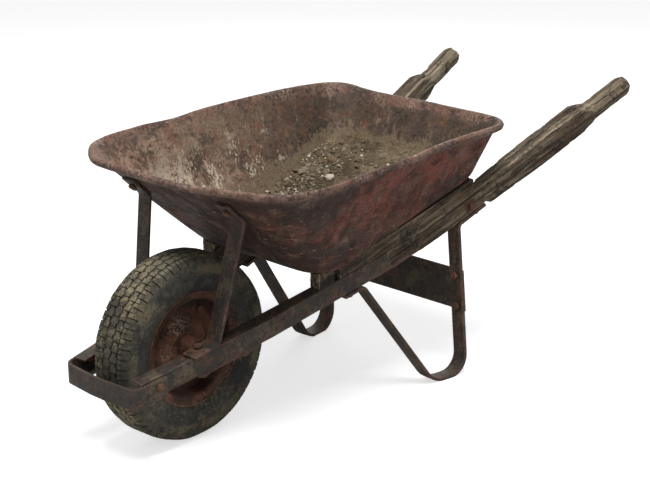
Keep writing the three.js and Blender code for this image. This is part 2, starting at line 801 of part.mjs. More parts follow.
function handleGeometry() {
  const tenonTop = -channelWall - fitGap;
  const tenonBottom = channelWall - channelHeight + fitGap;
  const tenonOut = channelWall + fitGap;
  const tenon = [tenonOut, tenonOut + tenonWidth, tenonBottom, tenonTop, 1];
  const onFlange = [0, handleWidth, tenonBottom, 0, 3];
  const body = [0, handleWidth, -handleHeight, 0, 4];
  const behindNotch = [0, handleWidth + 4, -handleHeight - handleNotchRise, 0, 5];
  const rear = [0, handleRearWidth, -handleRearHeight, 0, 6];
  const shoulder = [0, handleRearWidth, -handleRearHeight, -gripDrop / 2, gripRadius / 2];
  const gripMiddle = handleRearWidth / 2;
  const grip = (radius) => [
    gripMiddle - radius, gripMiddle + radius, -gripDrop - gripRadius - radius, radius - gripRadius - gripDrop, radius,
  ];
  const gripEnd = frameLine.at(-1).x;
  const notchEnd = legFlangeEnd + handleNotchGap;
  const shape = [
    [tenonStart, tenon],
    [webEnd + fitGap, tenon],
    [webEnd + fitGap, onFlange],
    [flangeEnd + fitGap, onFlange],
    [flangeEnd + fitGap, body],
    [notchEnd, body],
    [notchEnd + handleNotchRise, behindNotch],
    [handleFlareEnd, rear],
    [shoulderStart, rear],
    [shoulderStart + shoulderLength * 0.5, shoulder],
    [shoulderStart + shoulderLength, grip(gripRadius)],
    [gripEnd - 16, grip(gripRadius)],
    [gripEnd - 5, grip(gripRadius * 0.86)],
    [gripEnd, grip(gripRadius * 0.55)],
  ];
  const rings = shape.flatMap(([u, section], i) => {
    const [nextU, nextSection] = shape[i + 1] ?? [u, section];
    const bends = frameLine.filter((s) => s.x > u + 1 && s.x < nextU - 1);
    return [frameAt(u), ...bends].map((s) => {
      const share = nextU > u ? (s.x - u) / (nextU - u) : 0;
      const sides = section.map((side, k) => lerp(side, nextSection[k], share));
      return roundedSection(...sides).map(([v, n]) =>
        point(s.x - n * Math.sin(s.angle), v, s.y + n * Math.cos(s.angle)),
      );
    });
  });
  return drill(loft(rings), sideFrame, [legFrontBolt, legTopBolt, handleBolt, ...trayBolts]);
}

// A strip between the frame's top and what lies over it, in so many steps
function packing(from, to, steps, under) {
  const rings = Array.from({ length: steps + 1 }, (_, k) => {
    const { x, y, angle } = frameAt(lerp(from, to, k / steps));
    const bottom = y + fitGap / Math.cos(angle);
    const across = [0, 0.25, 0.5, 0.75, 1].map((share) => packingEdge + riserWidth * share);
    return [
      point(x, across[0], bottom),
      point(x, across.at(-1), bottom),
      ...across.toReversed().map((v) => {
        const at = point(x, v, 0).applyMatrix4(sideFrame);
        return point(x, v, under(at.x, at.y) - packingGap);
      }),
    ];
  });
  return loft(rings);
}

const strapSection = (thickness, from = 0) => [
  [from, -thickness / 2],
  [from + strapWidth, -thickness / 2],
  [from + strapWidth, thickness / 2],
  [from, thickness / 2],
];

// The leg is drawn in the upright frame, where its foot is worn level at z = 0
function legGeometry() {
  const strap = sweep(strapSection(legThickness), legLine).applyMatrix4(legFrame);
  const worn = solid(strap).trimByPlane([0, 0, 1], 0);
  return drill(geometryOf(worn), upright, [legFrontBolt, legTopBolt, ...plateBolts]);
}

function braceGeometry({ line, sideways, bolt }) {
  const strap = sweep(strapSection(braceThickness, -strapWidth / 2), line, sideways);
  return drill(strap, upright, [braceFootBolt, bolt], 2);
}

// An ear under the rail and an upright leaf that holds the axle
function bracketGeometry() {
  const ear = [
    [channelWall, -channelHeight - fitGap],
    [channelWall, -channelHeight - fitGap - bracketThickness],
    [railOuterAtWheel - bracketInner, -channelHeight - fitGap - bracketThickness],
    [railOuterAtWheel - bracketInner, -channelHeight - fitGap],
  ];
  const shelf = sweep(ear, frameStretch(bracketFront, bracketRear)).applyMatrix4(sideFrame);
  const base = (x) => offFrame(x, -channelHeight - fitGap - bracketThickness)[1];
  const outline = new THREE.Shape();
  outline.moveTo(bracketFront, base(bracketFront));
  outline.lineTo(bracketRear - 6, base(bracketRear - 6));
  outline.lineTo(bracketRear - 6, base(bracketRear - 6) + bracketThickness);
  outline.absarc(0, wheelRadius, bracketEyeRadius, degrees(20), degrees(160), false);
  outline.lineTo(bracketFront, base(bracketFront) + bracketThickness);
  const bore = new THREE.Path();
  bore.absarc(0, wheelRadius, axleRadius + fitGap, 0, Math.PI * 2, true);
  outline.holes.push(bore);
  const leaf = new THREE.ExtrudeGeometry(outline, {
    depth: bracketThickness, bevelEnabled: false, curveSegments: 7,
  });
  leaf.rotateX(Math.PI / 2);
  leaf.translate(0, -bracketInner, 0);
  const relief = prism(12, nutRadius + 2, bracketInner + bracketThickness, railOuterAtWheel - channelWidth);
  relief.rotateX(Math.PI / 2);
  relief.translate(0, 0, wheelRadius);
  const bracket = solid(unite(leaf, clipInside(shelf))).subtract(solid(relief));
  return drill(geometryOf(bracket), upright, [braceFootBolt, bracketBolt]);
}

// Keeps what lies outside the leaf's inner face
function clipInside(geometry) {
  return geometryOf(solid(geometry).trimByPlane([0, -1, 0], bracketInner));
}

function addSide(side, sign, blockStart) {
  const half = new THREE.Group();
  half.scale.y = sign;
  barrow.add(half);
  const plane = new THREE.Group();
  plane.position.setFromMatrixPosition(sideFrame);
  plane.rotation.z = -degrees(splayAngle);
  half.add(plane);
  const sided = (name, geometry, material, parent = half) =>
    add(`${name}_${side}`, geometry, material, parent);
  sided("rail", railGeometry(), rustySteel, plane);
  sided("handle", handleGeometry(), weatheredTimber, plane);
  const riser = packing(riserStart, riserEnd, 8, floorUnder);
  sided("riser", drill(riser, sideFrame, trayBolts), weatheredTimber, plane);
  const block = packing(blockStart, blockStart + blockLength, Math.ceil(blockLength / packingStep), trayUnder);
  sided("riser_block", block, weatheredTimber, plane);
  sided("leg", legGeometry(), rustySteel);
  sided("brace", braceGeometry(braces[side]), rustySteel);
  sided("axle_bracket", bracketGeometry(), rustySteel);
  const washer = new THREE.BoxGeometry(washerSize, washerThickness, washerSize);
  const [washerX, washerZ] = offFrame(handleBoltPlace, -handleBoltDrop);
  washer.rotateY(-frameAt(handleBoltPlace).angle);
  washer.translate(washerX, -fitGap - washerThickness / 2, washerZ);
  sided("handle_washer", drill(washer, sideFrame, [handleBolt]), rustyBolt, plane);
  const bolts = {
    nose_bolt: noseBolt,
    brace_foot_bolt: braceFootBolt,
    brace_top_bolt: braces[side].bolt,
    bracket_bolt: bracketBolt,
    leg_front_screw: legFrontBolt,
    leg_top_screw: legTopBolt,
    handle_bolt: handleBolt,
    plate_bolt_upper: plateBolts[0],
    plate_bolt_lower: plateBolts[1],
    tray_screw_front: trayBolts[0],
    tray_screw_rear: trayBolts[1],
  };
  for (const [name, bolt] of Object.entries(bolts)) {
    const mesh = sided(name, boltGeometry(bolt), rustyBolt);
    bolt.matrix.decompose(mesh.position, mesh.quaternion, mesh.scale);
  }
}

addSide("left", 1, blockStartLeft);
addSide("right", -1, blockStartRight);

// Nose guard: a flat bar bent round the front of both rails

function guardGeometry() {
  const outside = (x) => -railOuterAtWheel - railSpread * x - (fitGap + guardThickness / 2) / Math.cos(degrees(splayAngle));
  const lapEnd = railFront + guardLap;
  const frontX = railFront - guardReach;
  const left = [
    [lapEnd, outside(lapEnd)],
    [frontX, outside(frontX)],
    [frontX - guardBulge, 0],
  ];
  const corners = [...left, ...left.slice(0, 2).reverse().map(([x, y]) => [x, -y])];
  const line = roundedLine(corners, [0, guardCorner, guardBow, guardCorner, 0], 14);
  const rings = line.map(({ x, y, angle }) => {
    const top = frameLine[0].y + Math.tan(degrees(railFrontPitch)) * (x - railFront) - guardDrop;
    const ring = [];
    for (const [side, z] of [[-1, top], [1, top], [1, top - guardHeight], [-1, top - guardHeight]]) {
      const off = (side * guardThickness) / 2;
      ring.push(point(x - off * Math.sin(angle), y + off * Math.cos(angle), z));
    }
    return ring;
  });
  return drill(loft(rings), upright, [noseBolt, mirrored(noseBolt)]);
}

add("nose_guard", guardGeometry(), rustySteel);

// Cross plate: bolted to the back of both legs, its ends bent to lie on them

function crossPlateGeometry() {
  const near = legThickness / 2 + fitGap;
  const far = near + plateThickness;
  const top = plateBottom + plateHeight;
  const edgeAt = (v) =>
    [[plateBottom, near], [plateBottom, far], [top, far], [top, near]].map(([z, offset]) => {
      const p = legFace(z, offset);
      p.y = v;
      return p.applyMatrix4(legFrame);
    });
  const left = [edgeAt(0), edgeAt(strapWidth + 4)];
  const right = left.map((ring) => ring.map((p) => p.clone().applyMatrix4(mirror)));
  const plate = loft([...left, ...right.reverse()]);
  return drill(plate, upright, [...plateBolts, ...plateBolts.map(mirrored)]);
}

add("cross_plate", crossPlateGeometry(), rustySteel);

const trayHoles = [
  braces.left.bolt, mirrored(braces.right.bolt), ...trayBolts, ...trayBolts.map(mirrored),
];
add("tray", drill(trayGeometry(), upright, trayHoles, 3), fadedRedPaint);
const screwHeads = [...trayBolts, ...trayBolts.map(mirrored)].map((bolt) => ({
  ...bolt, radius: trayBoltHeadRadius * 1.25, grip: 2,
}));
add("dried_soil", drill(soilGeometry(), upright, screwHeads, trayBoltHeadHeight + fitGap), driedMud);

// Axle, nuts and spacers stay with the frame

const axleGroup = new THREE.Group();
axleGroup.position.z = wheelRadius;
axleGroup.rotation.x = Math.PI / 2;
barrow.add(axleGroup);

const nutFrom = bracketInner + bracketThickness + fitGap;
const axleEnd = nutFrom + axleNutLength + axleTail;
add("axle", prism(16, axleRadius, -axleEnd, axleEnd), rustyBolt, axleGroup);

function collar(outer, inner, from, to, sides) {
  const body = solid(prism(sides, outer, from, to));
  const bore = solid(prism(16, inner, from - 1, to + 1));
  return geometryOf(body.subtract(bore));
}

for (const [side, sign] of [["left", 1], ["right", -1]]) {
  const end = new THREE.Group();
  end.scale.z = sign;
  axleGroup.add(end);
  add(`axle_nut_${side}`, collar(nutRadius, axleRadius + fitGap, nutFrom, nutFrom + axleNutLength, 6), rustyBolt, end);
  add(
    `axle_spacer_${side}`,
    collar(12.5, axleRadius + fitGap, hubHalfLength + fitGap, bracketInner - fitGap, 14),
    rustyBolt,
    end,
  );
}

// Wheel: tyre, split rim, hub and its bushes turn together

const wheel = new THREE.Group();
wheel.position.z = wheelRadius;
barrow.add(wheel);

// Half of the tyre's outer section as [y, radius, groove], from the rim to the middle of the tread
const flankRadius = lerp(rimRadius, wheelRadius, flankShare);
const shoulderRadius = wheelRadius - shoulderDrop;
const tyreFlank = [
  [rimHalfWidth - 6, rimRadius - 14, 0],
  [rimHalfWidth - 1, rimRadius + 3, 0],
  [tyreHalfWidth, flankRadius, 0],
  [tyreHalfWidth - 2, shoulderRadius, 0.4],
  [treadHalfWidth, wheelRadius - treadEdgeDrop, 1],
  [treadHalfWidth - 13, wheelRadius - 2.5, 0.9],
  [7, wheelRadius, 0],
  [4, wheelRadius - treadDepth, 0],
];

function tyreGeometry() {
  const rings = [];
  const steps = treadPitches * 2;
  for (let k = 0; k < steps; k += 1) {
    const turn = (k / steps) * Math.PI * 2;
    const inGroove = k % 2;
    const zigzag = inGroove ? 2.5 : -2.5;
    const half = tyreFlank.map(([y, radius, groove]) => [y, radius - groove * treadDepth * inGroove]);
    const left = half.map(([y, radius], i) => [i > 5 ? zigzag - y : -y, radius]);
    const right = half.map(([y, radius], i) => [i > 5 ? zigzag + y : y, radius]).reverse();
    rings.push(
      [...left, ...right].map(([y, radius]) =>
        point(radius * Math.cos(turn), y, radius * Math.sin(turn)),
      ),
    );
  }
  const outer = solid(loft(rings, true));
  const chamber = [
    [rimHalfWidth - 15, beadSeatRadius - 6],
    [tyreHalfWidth - tyreWall, flankRadius - 7],
    [tyreHalfWidth - tyreWall - 4, shoulderRadius - 6],
    [24, wheelRadius - treadDepth - tyreWall],
  ];
  const inside = [...chamber.map(([y, r]) => [-y, r]), ...chamber.reverse().map(([y, r]) => [y, r])];
  const lathe = new THREE.LatheGeometry(
    [...inside, inside[0]].map(([y, r]) => new THREE.Vector2(r, y)),
    24,
  );
  const well = new THREE.LatheGeometry(
    [[0, -60], [beadSeatRadius + fitGap + 1, -60], [beadSeatRadius + fitGap + 1, 60], [0, 60]].map(
      ([r, y]) => new THREE.Vector2(r, y),
    ),
    30,
  );
  return geometryOf(outer.subtract(solid(lathe)).subtract(solid(well)));
}

// Half of the split rim: flange, bead seat, disc and raised boss, as one pressed sheet
function rimGeometry() {
  const face = 0.5;
  const line = [
    [rimRadius, rimHalfWidth + 4],
    [beadSeatRadius + 3, rimHalfWidth - 2],
    [beadSeatRadius, rimHalfWidth - 6],
    [beadSeatRadius - 2, face + 8],
    [beadSeatRadius - 7, face + rimSheet],
    [bossRadius - 8, face + rimSheet],
    [bossRadius - 24, face + bossRise],
    [hubRadius + 12, face + bossRise + 3],
    [hubRadius + fitGap, face + bossRise + 3],
  ];
  const back = line.map(([r, y], i) => {
    const a = line[Math.max(0, i - 1)];
    const b = line[Math.min(line.length - 1, i + 1)];
    const length = Math.hypot(b[0] - a[0], b[1] - a[1]);
    const normalR = (b[1] - a[1]) / length;
    const normalY = -(b[0] - a[0]) / length;
    return [r - normalR * rimSheet, Math.max(0.2, y - normalY * rimSheet)];
  });
  back[back.length - 1][0] = hubRadius + fitGap;
  const profile = [...line, ...back.reverse(), line[0]];
  const geometry = new THREE.LatheGeometry(profile.map(([r, y]) => new THREE.Vector2(r, y)), 28);
  return geometry;
}

const rimBolts = Array.from({ length: rimBoltCount }, (_, k) => {
  const turn = degrees(rimBoltStart) + (k * Math.PI * 2) / rimBoltCount;
  const at = point(rimBoltCircle * Math.cos(turn), -rimSheet - 0.5 - fitGap, rimBoltCircle * Math.sin(turn));
  return boltAt(upright, at, point(0, 1, 0), 2 * rimSheet + 1 + 2 * fitGap);
});

for (const [side, sign] of [["left", -1], ["right", 1]]) {
  const disc = rimGeometry();
  disc.scale(1, sign, 1);
  add(`rim_half_${side}`, drill(disc, upright, rimBolts, 4), rustedRim, wheel);
}
rimBolts.forEach((bolt, k) => {
  const mesh = add(`rim_bolt_${k + 1}`, boltGeometry(bolt), rustyBolt, wheel);
  bolt.matrix.decompose(mesh.position, mesh.quaternion, mesh.scale);
});
add("tyre", tyreGeometry(), agedRubber, wheel);

function hubGeometry() {
  const bore = hubRadius - hubWall;
  const step = bore - 3;
  const flange = hubRadius + 10;
  const profile = [
    [bore, -hubHalfLength], [hubRadius, -hubHalfLength], [hubRadius, hubHalfLength], [bore, hubHalfLength],
    [bore, hubHalfLength - bushLength], [step, hubHalfLength - bushLength],
    [step, bushLength - hubHalfLength], [bore, bushLength - hubHalfLength], [bore, -hubHalfLength],
  ];
  const tube = new THREE.LatheGeometry(profile.map(([r, y]) => new THREE.Vector2(r, y)), 20);
  return tube;
}

add("hub", hubGeometry(), rustedRim, wheel);
for (const [side, sign] of [["left", -1], ["right", 1]]) {
  const bush = collar(
    hubRadius - hubWall - fitGap, axleRadius + fitGap,
    hubHalfLength - bushLength + fitGap, hubHalfLength - fitGap, 20,
  );
  bush.rotateX((-sign * Math.PI) / 2);
  add(`hub_bush_${side}`, bush, rustyBolt, wheel);
}

// The part's origin is the middle of its footprint, on the floor

const extent = new THREE.Box3().setFromObject(barrow);
barrow.position.set(-(extent.min.x + extent.max.x) / 2, -(extent.min.y + extent.max.y) / 2, 0);

const group = new THREE.Group();
group.add(barrow);
export default group;
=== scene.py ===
import json
import math
import random

import bmesh
import bpy
import numpy as np
from mathutils import Matrix, Vector, noise


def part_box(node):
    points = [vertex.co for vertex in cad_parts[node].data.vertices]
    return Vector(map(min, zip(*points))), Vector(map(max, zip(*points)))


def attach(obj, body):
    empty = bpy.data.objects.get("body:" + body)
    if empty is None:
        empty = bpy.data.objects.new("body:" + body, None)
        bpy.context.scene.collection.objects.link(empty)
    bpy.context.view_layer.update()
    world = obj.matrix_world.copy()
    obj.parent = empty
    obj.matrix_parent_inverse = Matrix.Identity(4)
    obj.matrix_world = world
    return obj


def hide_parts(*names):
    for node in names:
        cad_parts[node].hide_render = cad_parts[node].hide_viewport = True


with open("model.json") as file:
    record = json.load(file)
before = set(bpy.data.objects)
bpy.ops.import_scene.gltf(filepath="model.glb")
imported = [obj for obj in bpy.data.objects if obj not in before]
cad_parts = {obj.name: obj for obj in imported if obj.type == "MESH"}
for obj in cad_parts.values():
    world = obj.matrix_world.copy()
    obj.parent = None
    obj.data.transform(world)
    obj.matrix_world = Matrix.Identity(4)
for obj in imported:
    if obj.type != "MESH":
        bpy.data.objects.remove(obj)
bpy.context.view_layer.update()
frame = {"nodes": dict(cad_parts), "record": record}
random.seed(41)
scene = bpy.context.scene


# Studio: a camera in front of the barrow's left side, a pale floor, a white surround and soft lamps overhead
# The lens and place are those of the photograph; floor and surround are white for camera and gloss rays
WHEEL_X = -0.48895
WHEEL_Z = 0.2
WHITE = (1, 1, 1, 1)
FLOOR_GREY = (0.62, 0.62, 0.62, 1)
FLOOR_LIFT = 0.62
SURROUND_LIGHT = 0.36
CAMERA_ROLL = math.radians(-0.25)
LENS = 89.63

camera = bpy.data.objects.new("camera", bpy.data.cameras.new("camera"))
scene.collection.objects.link(camera)
scene.camera = camera
camera.data.sensor_width = 36
camera.data.sensor_fit = "HORIZONTAL"
camera.data.lens = LENS
camera.data.clip_end = 60
camera_place = Vector((WHEEL_X - 2.0426, -2.3734, 1.4417))
camera_aim = Vector((WHEEL_X + 0.43018, 0, 0.31704))
looking = (camera_aim - camera_place).to_track_quat("-Z", "Y").to_matrix().to_4x4()
camera.matrix_world = Matrix.Translation(camera_place) @ looking @ Matrix.Rotation(CAMERA_ROLL, 4, "Z")


def area_lamp(name, place, aim, size, power):
    lamp = bpy.data.objects.new(name, bpy.data.lights.new(name, "AREA"))
    lamp.data.shape = "DISK"
    lamp.data.size = size
    lamp.data.energy = power
    lamp.location = place
    lamp.rotation_euler = (Vector(aim) - Vector(place)).to_track_quat("-Z", "Y").to_euler()
    scene.collection.objects.link(lamp)


area_lamp("overhead", (-0.9, -0.9, 3.4), (0, 0, 0.3), 1.5, 128)
area_lamp("left_fill", (-3.2, -2.0, 2.0), (-0.2, 0, 0.3), 2.2, 22)
area_lamp("rear_fill", (2.6, 2.2, 2.2), (0, 0, 0.3), 2.4, 20)


def paint(red, green, blue):
    """A colour that is given as it looks on screen, 0 to 255, as the linear values of a socket."""
    channels = [c / 255 for c in (red, green, blue)]
    return tuple(c / 12.92 if c <= 0.04045 else ((c + 0.055) / 1.055) ** 2.4 for c in channels) + (1,)


def add_node(tree, kind, inputs=None, **settings):
    """A node with its settings, and with each named input linked to a socket or set to a value."""
    made = tree.nodes.new(kind)
    for name, value in settings.items():
        setattr(made, name, value)
    for name, value in (inputs or {}).items():
        if isinstance(value, bpy.types.NodeSocket):
            tree.links.new(value, made.inputs[name])
        else:
            made.inputs[name].default_value = value
    return made


scene.view_settings.view_transform = "Standard"
world = bpy.data.worlds.new("surround")
scene.world = world
world.use_nodes = True
tree = world.node_tree
tree.nodes.clear()
path = add_node(tree, "ShaderNodeLightPath")
seen = path.outputs["Is Camera Ray"]
for ray in ("Is Glossy Ray", "Is Transmission Ray"):
    seen = add_node(tree, "ShaderNodeMath", {0: seen, 1: path.outputs[ray]}, operation="MAXIMUM").outputs[0]
ambient = add_node(tree, "ShaderNodeBackground", {"Color": WHITE, "Strength": SURROUND_LIGHT})
white = add_node(tree, "ShaderNodeBackground", {"Color": WHITE, "Strength": 1})
mixed = add_node(tree, "ShaderNodeMixShader", {0: seen, 1: ambient.outputs[0], 2: white.outputs[0]})
add_node(tree, "ShaderNodeOutputWorld", {"Surface": mixed.outputs[0]})

bpy.ops.object.select_all(action="DESELECT")
bpy.ops.mesh.primitive_plane_add(size=60, location=(0, 0, 0))
floor = bpy.context.object
floor.name = "studio_floor"
floor_look = bpy.data.materials.new("pale_floor")
floor_look.use_nodes = True
tree = floor_look.node_tree
shader = tree.nodes["Principled BSDF"]
shader.inputs["Base Color"].default_value = FLOOR_GREY
shader.inputs["Roughness"].default_value = 0.9
path = add_node(tree, "ShaderNodeLightPath")
lift = add_node(tree, "ShaderNodeMath", {0: path.outputs["Is Camera Ray"], 1: FLOOR_LIFT},
                operation="MULTIPLY")
tree.links.new(lift.outputs[0], shader.inputs["Emission Strength"])
shader.inputs["Emission Color"].default_value = WHITE
floor.data.materials.append(floor_look)


# Tray: one sheet of steel pressed to a bowl with a sloping floor, its rim rolled over a wire's width
# Faded oxide red paint, nearly gone inside, with rust, grime, dried splashes and knocks in the rim; grime
# and painted shade darken the outside towards the front and the bottom
PAINT_RED = paint(116, 66, 56)
PAINT_DARK = paint(86, 50, 42)
GRIME_AND_SHADE = paint(46, 38, 33)
RUST_BROWN = paint(94, 62, 47)
LIME_WHITE = paint(190, 178, 158)
MUD = paint(104, 90, 72)
TRAY_MIDDLE_X = WHEEL_X + 0.36
TRAY_SLOPE = math.tan(math.radians(18.26))
TRAY_FLOOR_X = WHEEL_X + 0.312
TRAY_FLOOR_Z = 0.334
RIM_ROLL = 0.026
RIM_BLEND = 0.006
RIM_SECTORS = 60
WELD = 0.00002
UPWARD_SHARE = 0.35
INNER_SHARPNESS = 40
# each wave has its frequency and its height
TRAY_RIPPLE = ((9, 0.0014), (26, 0.0005))
# each knock has its place, its push and how far it spreads
TRAY_KNOCKS = [
    ((WHEEL_X + 0.13, 0.27, 0.545), (0.0, -0.006, -0.002), 0.035),
    ((WHEEL_X + 0.25, 0.272, 0.555), (0.0, -0.010, -0.003), 0.055),
    ((WHEEL_X + 0.62, -0.25, 0.50), (0.0, 0.006, 0.0), 0.05),
    ((WHEEL_X + 0.05, -0.12, 0.47), (0.004, 0.0, 0.004), 0.05),
]


def select_only(piece):
    bpy.ops.object.select_all(action="DESELECT")
    piece.hide_set(False)
    piece.select_set(True)
    bpy.context.view_layer.objects.active = piece


def apply_modifier(piece, kind, **settings):
    select_only(piece)
    modifier = piece.modifiers.new(kind.lower(), kind)
    for name, value in settings.items():
        setattr(modifier, name, value)
    bpy.ops.object.modifier_apply(modifier=modifier.name)


def copy_of(node, name, quads=False):
    """A welded copy of a CAD node, whose own mesh stays as it is."""
    source = frame["nodes"][node]
    piece = bpy.data.objects.new(name, source.data.copy())
    scene.collection.objects.link(piece)
    piece.data.materials.clear()
    select_only(piece)
    bpy.ops.object.mode_set(mode="EDIT")
    bpy.ops.mesh.select_all(action="SELECT")
    bpy.ops.mesh.remove_doubles(threshold=WELD)
    if quads:
        bpy.ops.mesh.tris_convert_to_quads(face_threshold=math.radians(50),
                                           shape_threshold=math.radians(60))
    bpy.ops.object.mode_set(mode="OBJECT")
    return piece


def vertex_places(piece):
    places = np.empty(len(piece.data.vertices) * 3)
    piece.data.vertices.foreach_get("co", places)
    return places.reshape(-1, 3)


def vertex_normals(piece):
    normals = np.empty(len(piece.data.vertices) * 3)
    piece.data.vertex_normals.foreach_get("vector", normals)
    return normals.reshape(-1, 3)


def move_vertices(piece, places):
    piece.data.vertices.foreach_set("co", places.ravel())
    piece.data.update()


def uneven(place, waves):
    """Smooth unevenness at a place, the sum of its waves."""
    return sum(noise.noise(Vector(place) * frequency) * height for frequency, height in waves)


def mark(piece, name, values):
    """A value for each vertex, which the materials read by its name."""
    attribute = piece.data.attributes.new(name, "FLOAT", "POINT")
    attribute.data.foreach_set("value", np.asarray(values, np.float32))


def hand_over(piece, nodes, body, looks, angle=35):
    """The piece takes its materials, stands for its CAD nodes and rides on their body."""
    for look in looks:
        piece.data.materials.append(look)
    select_only(piece)
    bpy.ops.object.shade_smooth_by_angle(angle=math.radians(angle))
    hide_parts(*nodes)
    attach(piece, body)


def new_group(name, inputs, outputs):
    """An empty node group; inputs and outputs name each socket and give its kind."""
    kinds = {"value": "NodeSocketFloat", "vector": "NodeSocketVector", "colour": "NodeSocketColor"}
    group = bpy.data.node_groups.new(name, "ShaderNodeTree")
    for direction, sockets in (("INPUT", inputs), ("OUTPUT", outputs)):
        for label, kind in sockets.items():
            group.interface.new_socket(label, in_out=direction, socket_type=kinds[kind])
    return group, group.nodes.new("NodeGroupInput"), group.nodes.new("NodeGroupOutput")


def combine(tree, operation, first, second, third=None):
    """A Math node on two or three values."""
    inputs = {0: first, 1: second} if third is None else {0: first, 1: second, 2: third}
    return add_node(tree, "ShaderNodeMath", inputs, operation=operation).outputs[0]


def ramp(tree, value, low, high):
    return add_node(tree, "ShaderNodeMapRange", {"Value": value, "From Min": low, "From Max": high},
                    interpolation_type="SMOOTHSTEP").outputs["Result"]


def noise_value(tree, vector, scale, detail=4.0, roughness=0.6):
    return add_node(tree, "ShaderNodeTexNoise",
                    {"Vector": vector, "Scale": scale, "Detail": detail, "Roughness": roughness}).outputs[0]


# Patches: where a layer such as rust or grime has taken hold, from wide noise broken up by fine noise
patches, inside, out = new_group(
    "patches",
    {"Vector": "vector", "Size": "value", "Cover": "value", "Softness": "value", "Breakup": "value"},
    {"Mask": "value"},
)
vector, size, cover, softness, breakup = inside.outputs[:5]
wide = noise_value(patches, vector, size, 5.0, 0.6)
fine = noise_value(patches, vector, combine(patches, "MULTIPLY", size, 9.0), 4.0, 0.7)
broken = combine(patches, "MULTIPLY_ADD", combine(patches, "SUBTRACT", fine, 0.5), breakup, wide)
level = combine(patches, "SUBTRACT", 1.0, cover)
low = combine(patches, "SUBTRACT", level, softness)
high = combine(patches, "ADD", level, softness)
patches.links.new(ramp(patches, broken, low, high), out.inputs["Mask"])

# Grit: the same colour, made lighter and darker by a fine grain
grit, inside, out = new_group(
    "grit", {"Color": "colour", "Vector": "vector", "Scale": "value", "Amount": "value"}, {"Color": "colour"}
)
colour, vector, scale, amount = inside.outputs[:4]
grain = add_node(grit, "ShaderNodeMapRange",
                 {"Value": noise_value(grit, vector, scale, 5.0, 0.75), "From Min": 0.3, "From Max": 0.7,
                  "To Min": combine(grit, "SUBTRACT", 1.0, amount),
                  "To Max": combine(grit, "ADD", 1.0, amount)}).outputs[0]
shaded = add_node(grit, "ShaderNodeHueSaturation", {"Color": colour, "Value": grain}).outputs[0]
grit.links.new(shaded, out.inputs["Color"])


def new_look(name, roughness=0.8, metallic=0.0):
    """A material with its shader, and the object's own coordinates."""
    look = bpy.data.materials.new(name)
    look.use_nodes = True
    tree = look.node_tree
    shader = tree.nodes["Principled BSDF"]
    shader.inputs["Roughness"].default_value = roughness
    shader.inputs["Metallic"].default_value = metallic
    shader.inputs["Specular IOR Level"].default_value = 0.14
    coordinates = add_node(tree, "ShaderNodeTexCoord").outputs["Object"]
    return look, tree, shader, coordinates


def patch_mask(tree, vector, size, cover, softness, breakup):
    return add_node(tree, "ShaderNodeGroup",
                    {"Vector": vector, "Size": size, "Cover": cover, "Softness": softness,
                     "Breakup": breakup}, node_tree=patches).outputs["Mask"]


def gritty(tree, colour, vector, scale, amount):
    return add_node(tree, "ShaderNodeGroup",
                    {"Color": colour, "Vector": vector, "Scale": scale, "Amount": amount},
                    node_tree=grit).outputs["Color"]


def stretched(tree, vector, scale, turn=(0, 0, 0)):
    return add_node(tree, "ShaderNodeMapping",
                    {"Vector": vector, "Scale": scale, "Rotation": turn}).outputs[0]


def layer(tree, under, over, mask, strength=1.0):
    """One colour over another where the mask says so."""
    if strength != 1.0:
        mask = combine(tree, "MULTIPLY", mask, strength)
    mix = add_node(tree, "ShaderNodeMix", data_type="RGBA")
    tree.links.new(mask, mix.inputs["Factor"])
    for socket, colour in ((mix.inputs[6], under), (mix.inputs[7], over)):
        if isinstance(colour, bpy.types.NodeSocket):
            tree.links.new(colour, socket)
        else:
            socket.default_value = colour
    return mix.outputs[2]


def times(tree, *masks):
    product = masks[0]
    for mask in masks[1:]:
        product = combine(tree, "MULTIPLY", product, mask)
    return product


def coat(tree, under, over, vector, size, cover, softness, breakup, strength=1.0):
    """One colour over another in patches."""
    return layer(tree, under, over, patch_mask(tree, vector, size, cover, softness, breakup), strength)


def marked(tree, name):
    return add_node(tree, "ShaderNodeAttribute", attribute_name=name).outputs["Fac"]


def bumps(tree, shader, *heights):
    """Bump nodes in a chain: each height is a value with its distance in metres."""
    normal = None
    for height, distance in heights:
        bump = add_node(tree, "ShaderNodeBump", {"Height": height, "Distance": distance, "Strength": 1.0})
        if normal:
            tree.links.new(normal, bump.inputs["Normal"])
        normal = bump.outputs[0]
    tree.links.new(normal, shader.inputs["Normal"])


tray = copy_of("tray", "tray_skin", quads=True)
apply_modifier(tray, "SUBSURF", levels=2, render_levels=2, subdivision_type="SIMPLE")
apply_modifier(tray, "SMOOTH", factor=0.5, iterations=6)
places = vertex_places(tray)
normals = vertex_normals(tray)
for place, push, spread in TRAY_KNOCKS:
    near = np.exp(-((places - place) ** 2).sum(1) / spread**2)
    places += near[:, None] * np.array(push)
to_middle = TRAY_MIDDLE_X - places[:, 0]
inwards = to_middle * normals[:, 0] - places[:, 1] * normals[:, 1] + UPWARD_SHARE * normals[:, 2]
inner = np.clip(inwards * INNER_SHARPNESS, 0, 1)
for i, place in enumerate(places):
    places[i] += normals[i] * uneven(place, TRAY_RIPPLE) * (1 - 2 * inner[i])
move_vertices(tray, places)
heading = np.arctan2(places[:, 1], places[:, 0] - TRAY_MIDDLE_X)
sector = ((heading + math.pi) / (2 * math.pi) * RIM_SECTORS).astype(int) % RIM_SECTORS
sector_tops = np.array([places[sector == k, 2].max() for k in range(RIM_SECTORS)])
sector_middles = (np.arange(RIM_SECTORS) + 0.5) / RIM_SECTORS * 2 * math.pi - math.pi
rim_top = np.interp(heading, sector_middles, sector_tops, period=2 * math.pi)
mark(tray, "rim", np.clip((places[:, 2] - rim_top + RIM_ROLL) / RIM_BLEND, 0, 1))
mark(tray, "inner", inner)
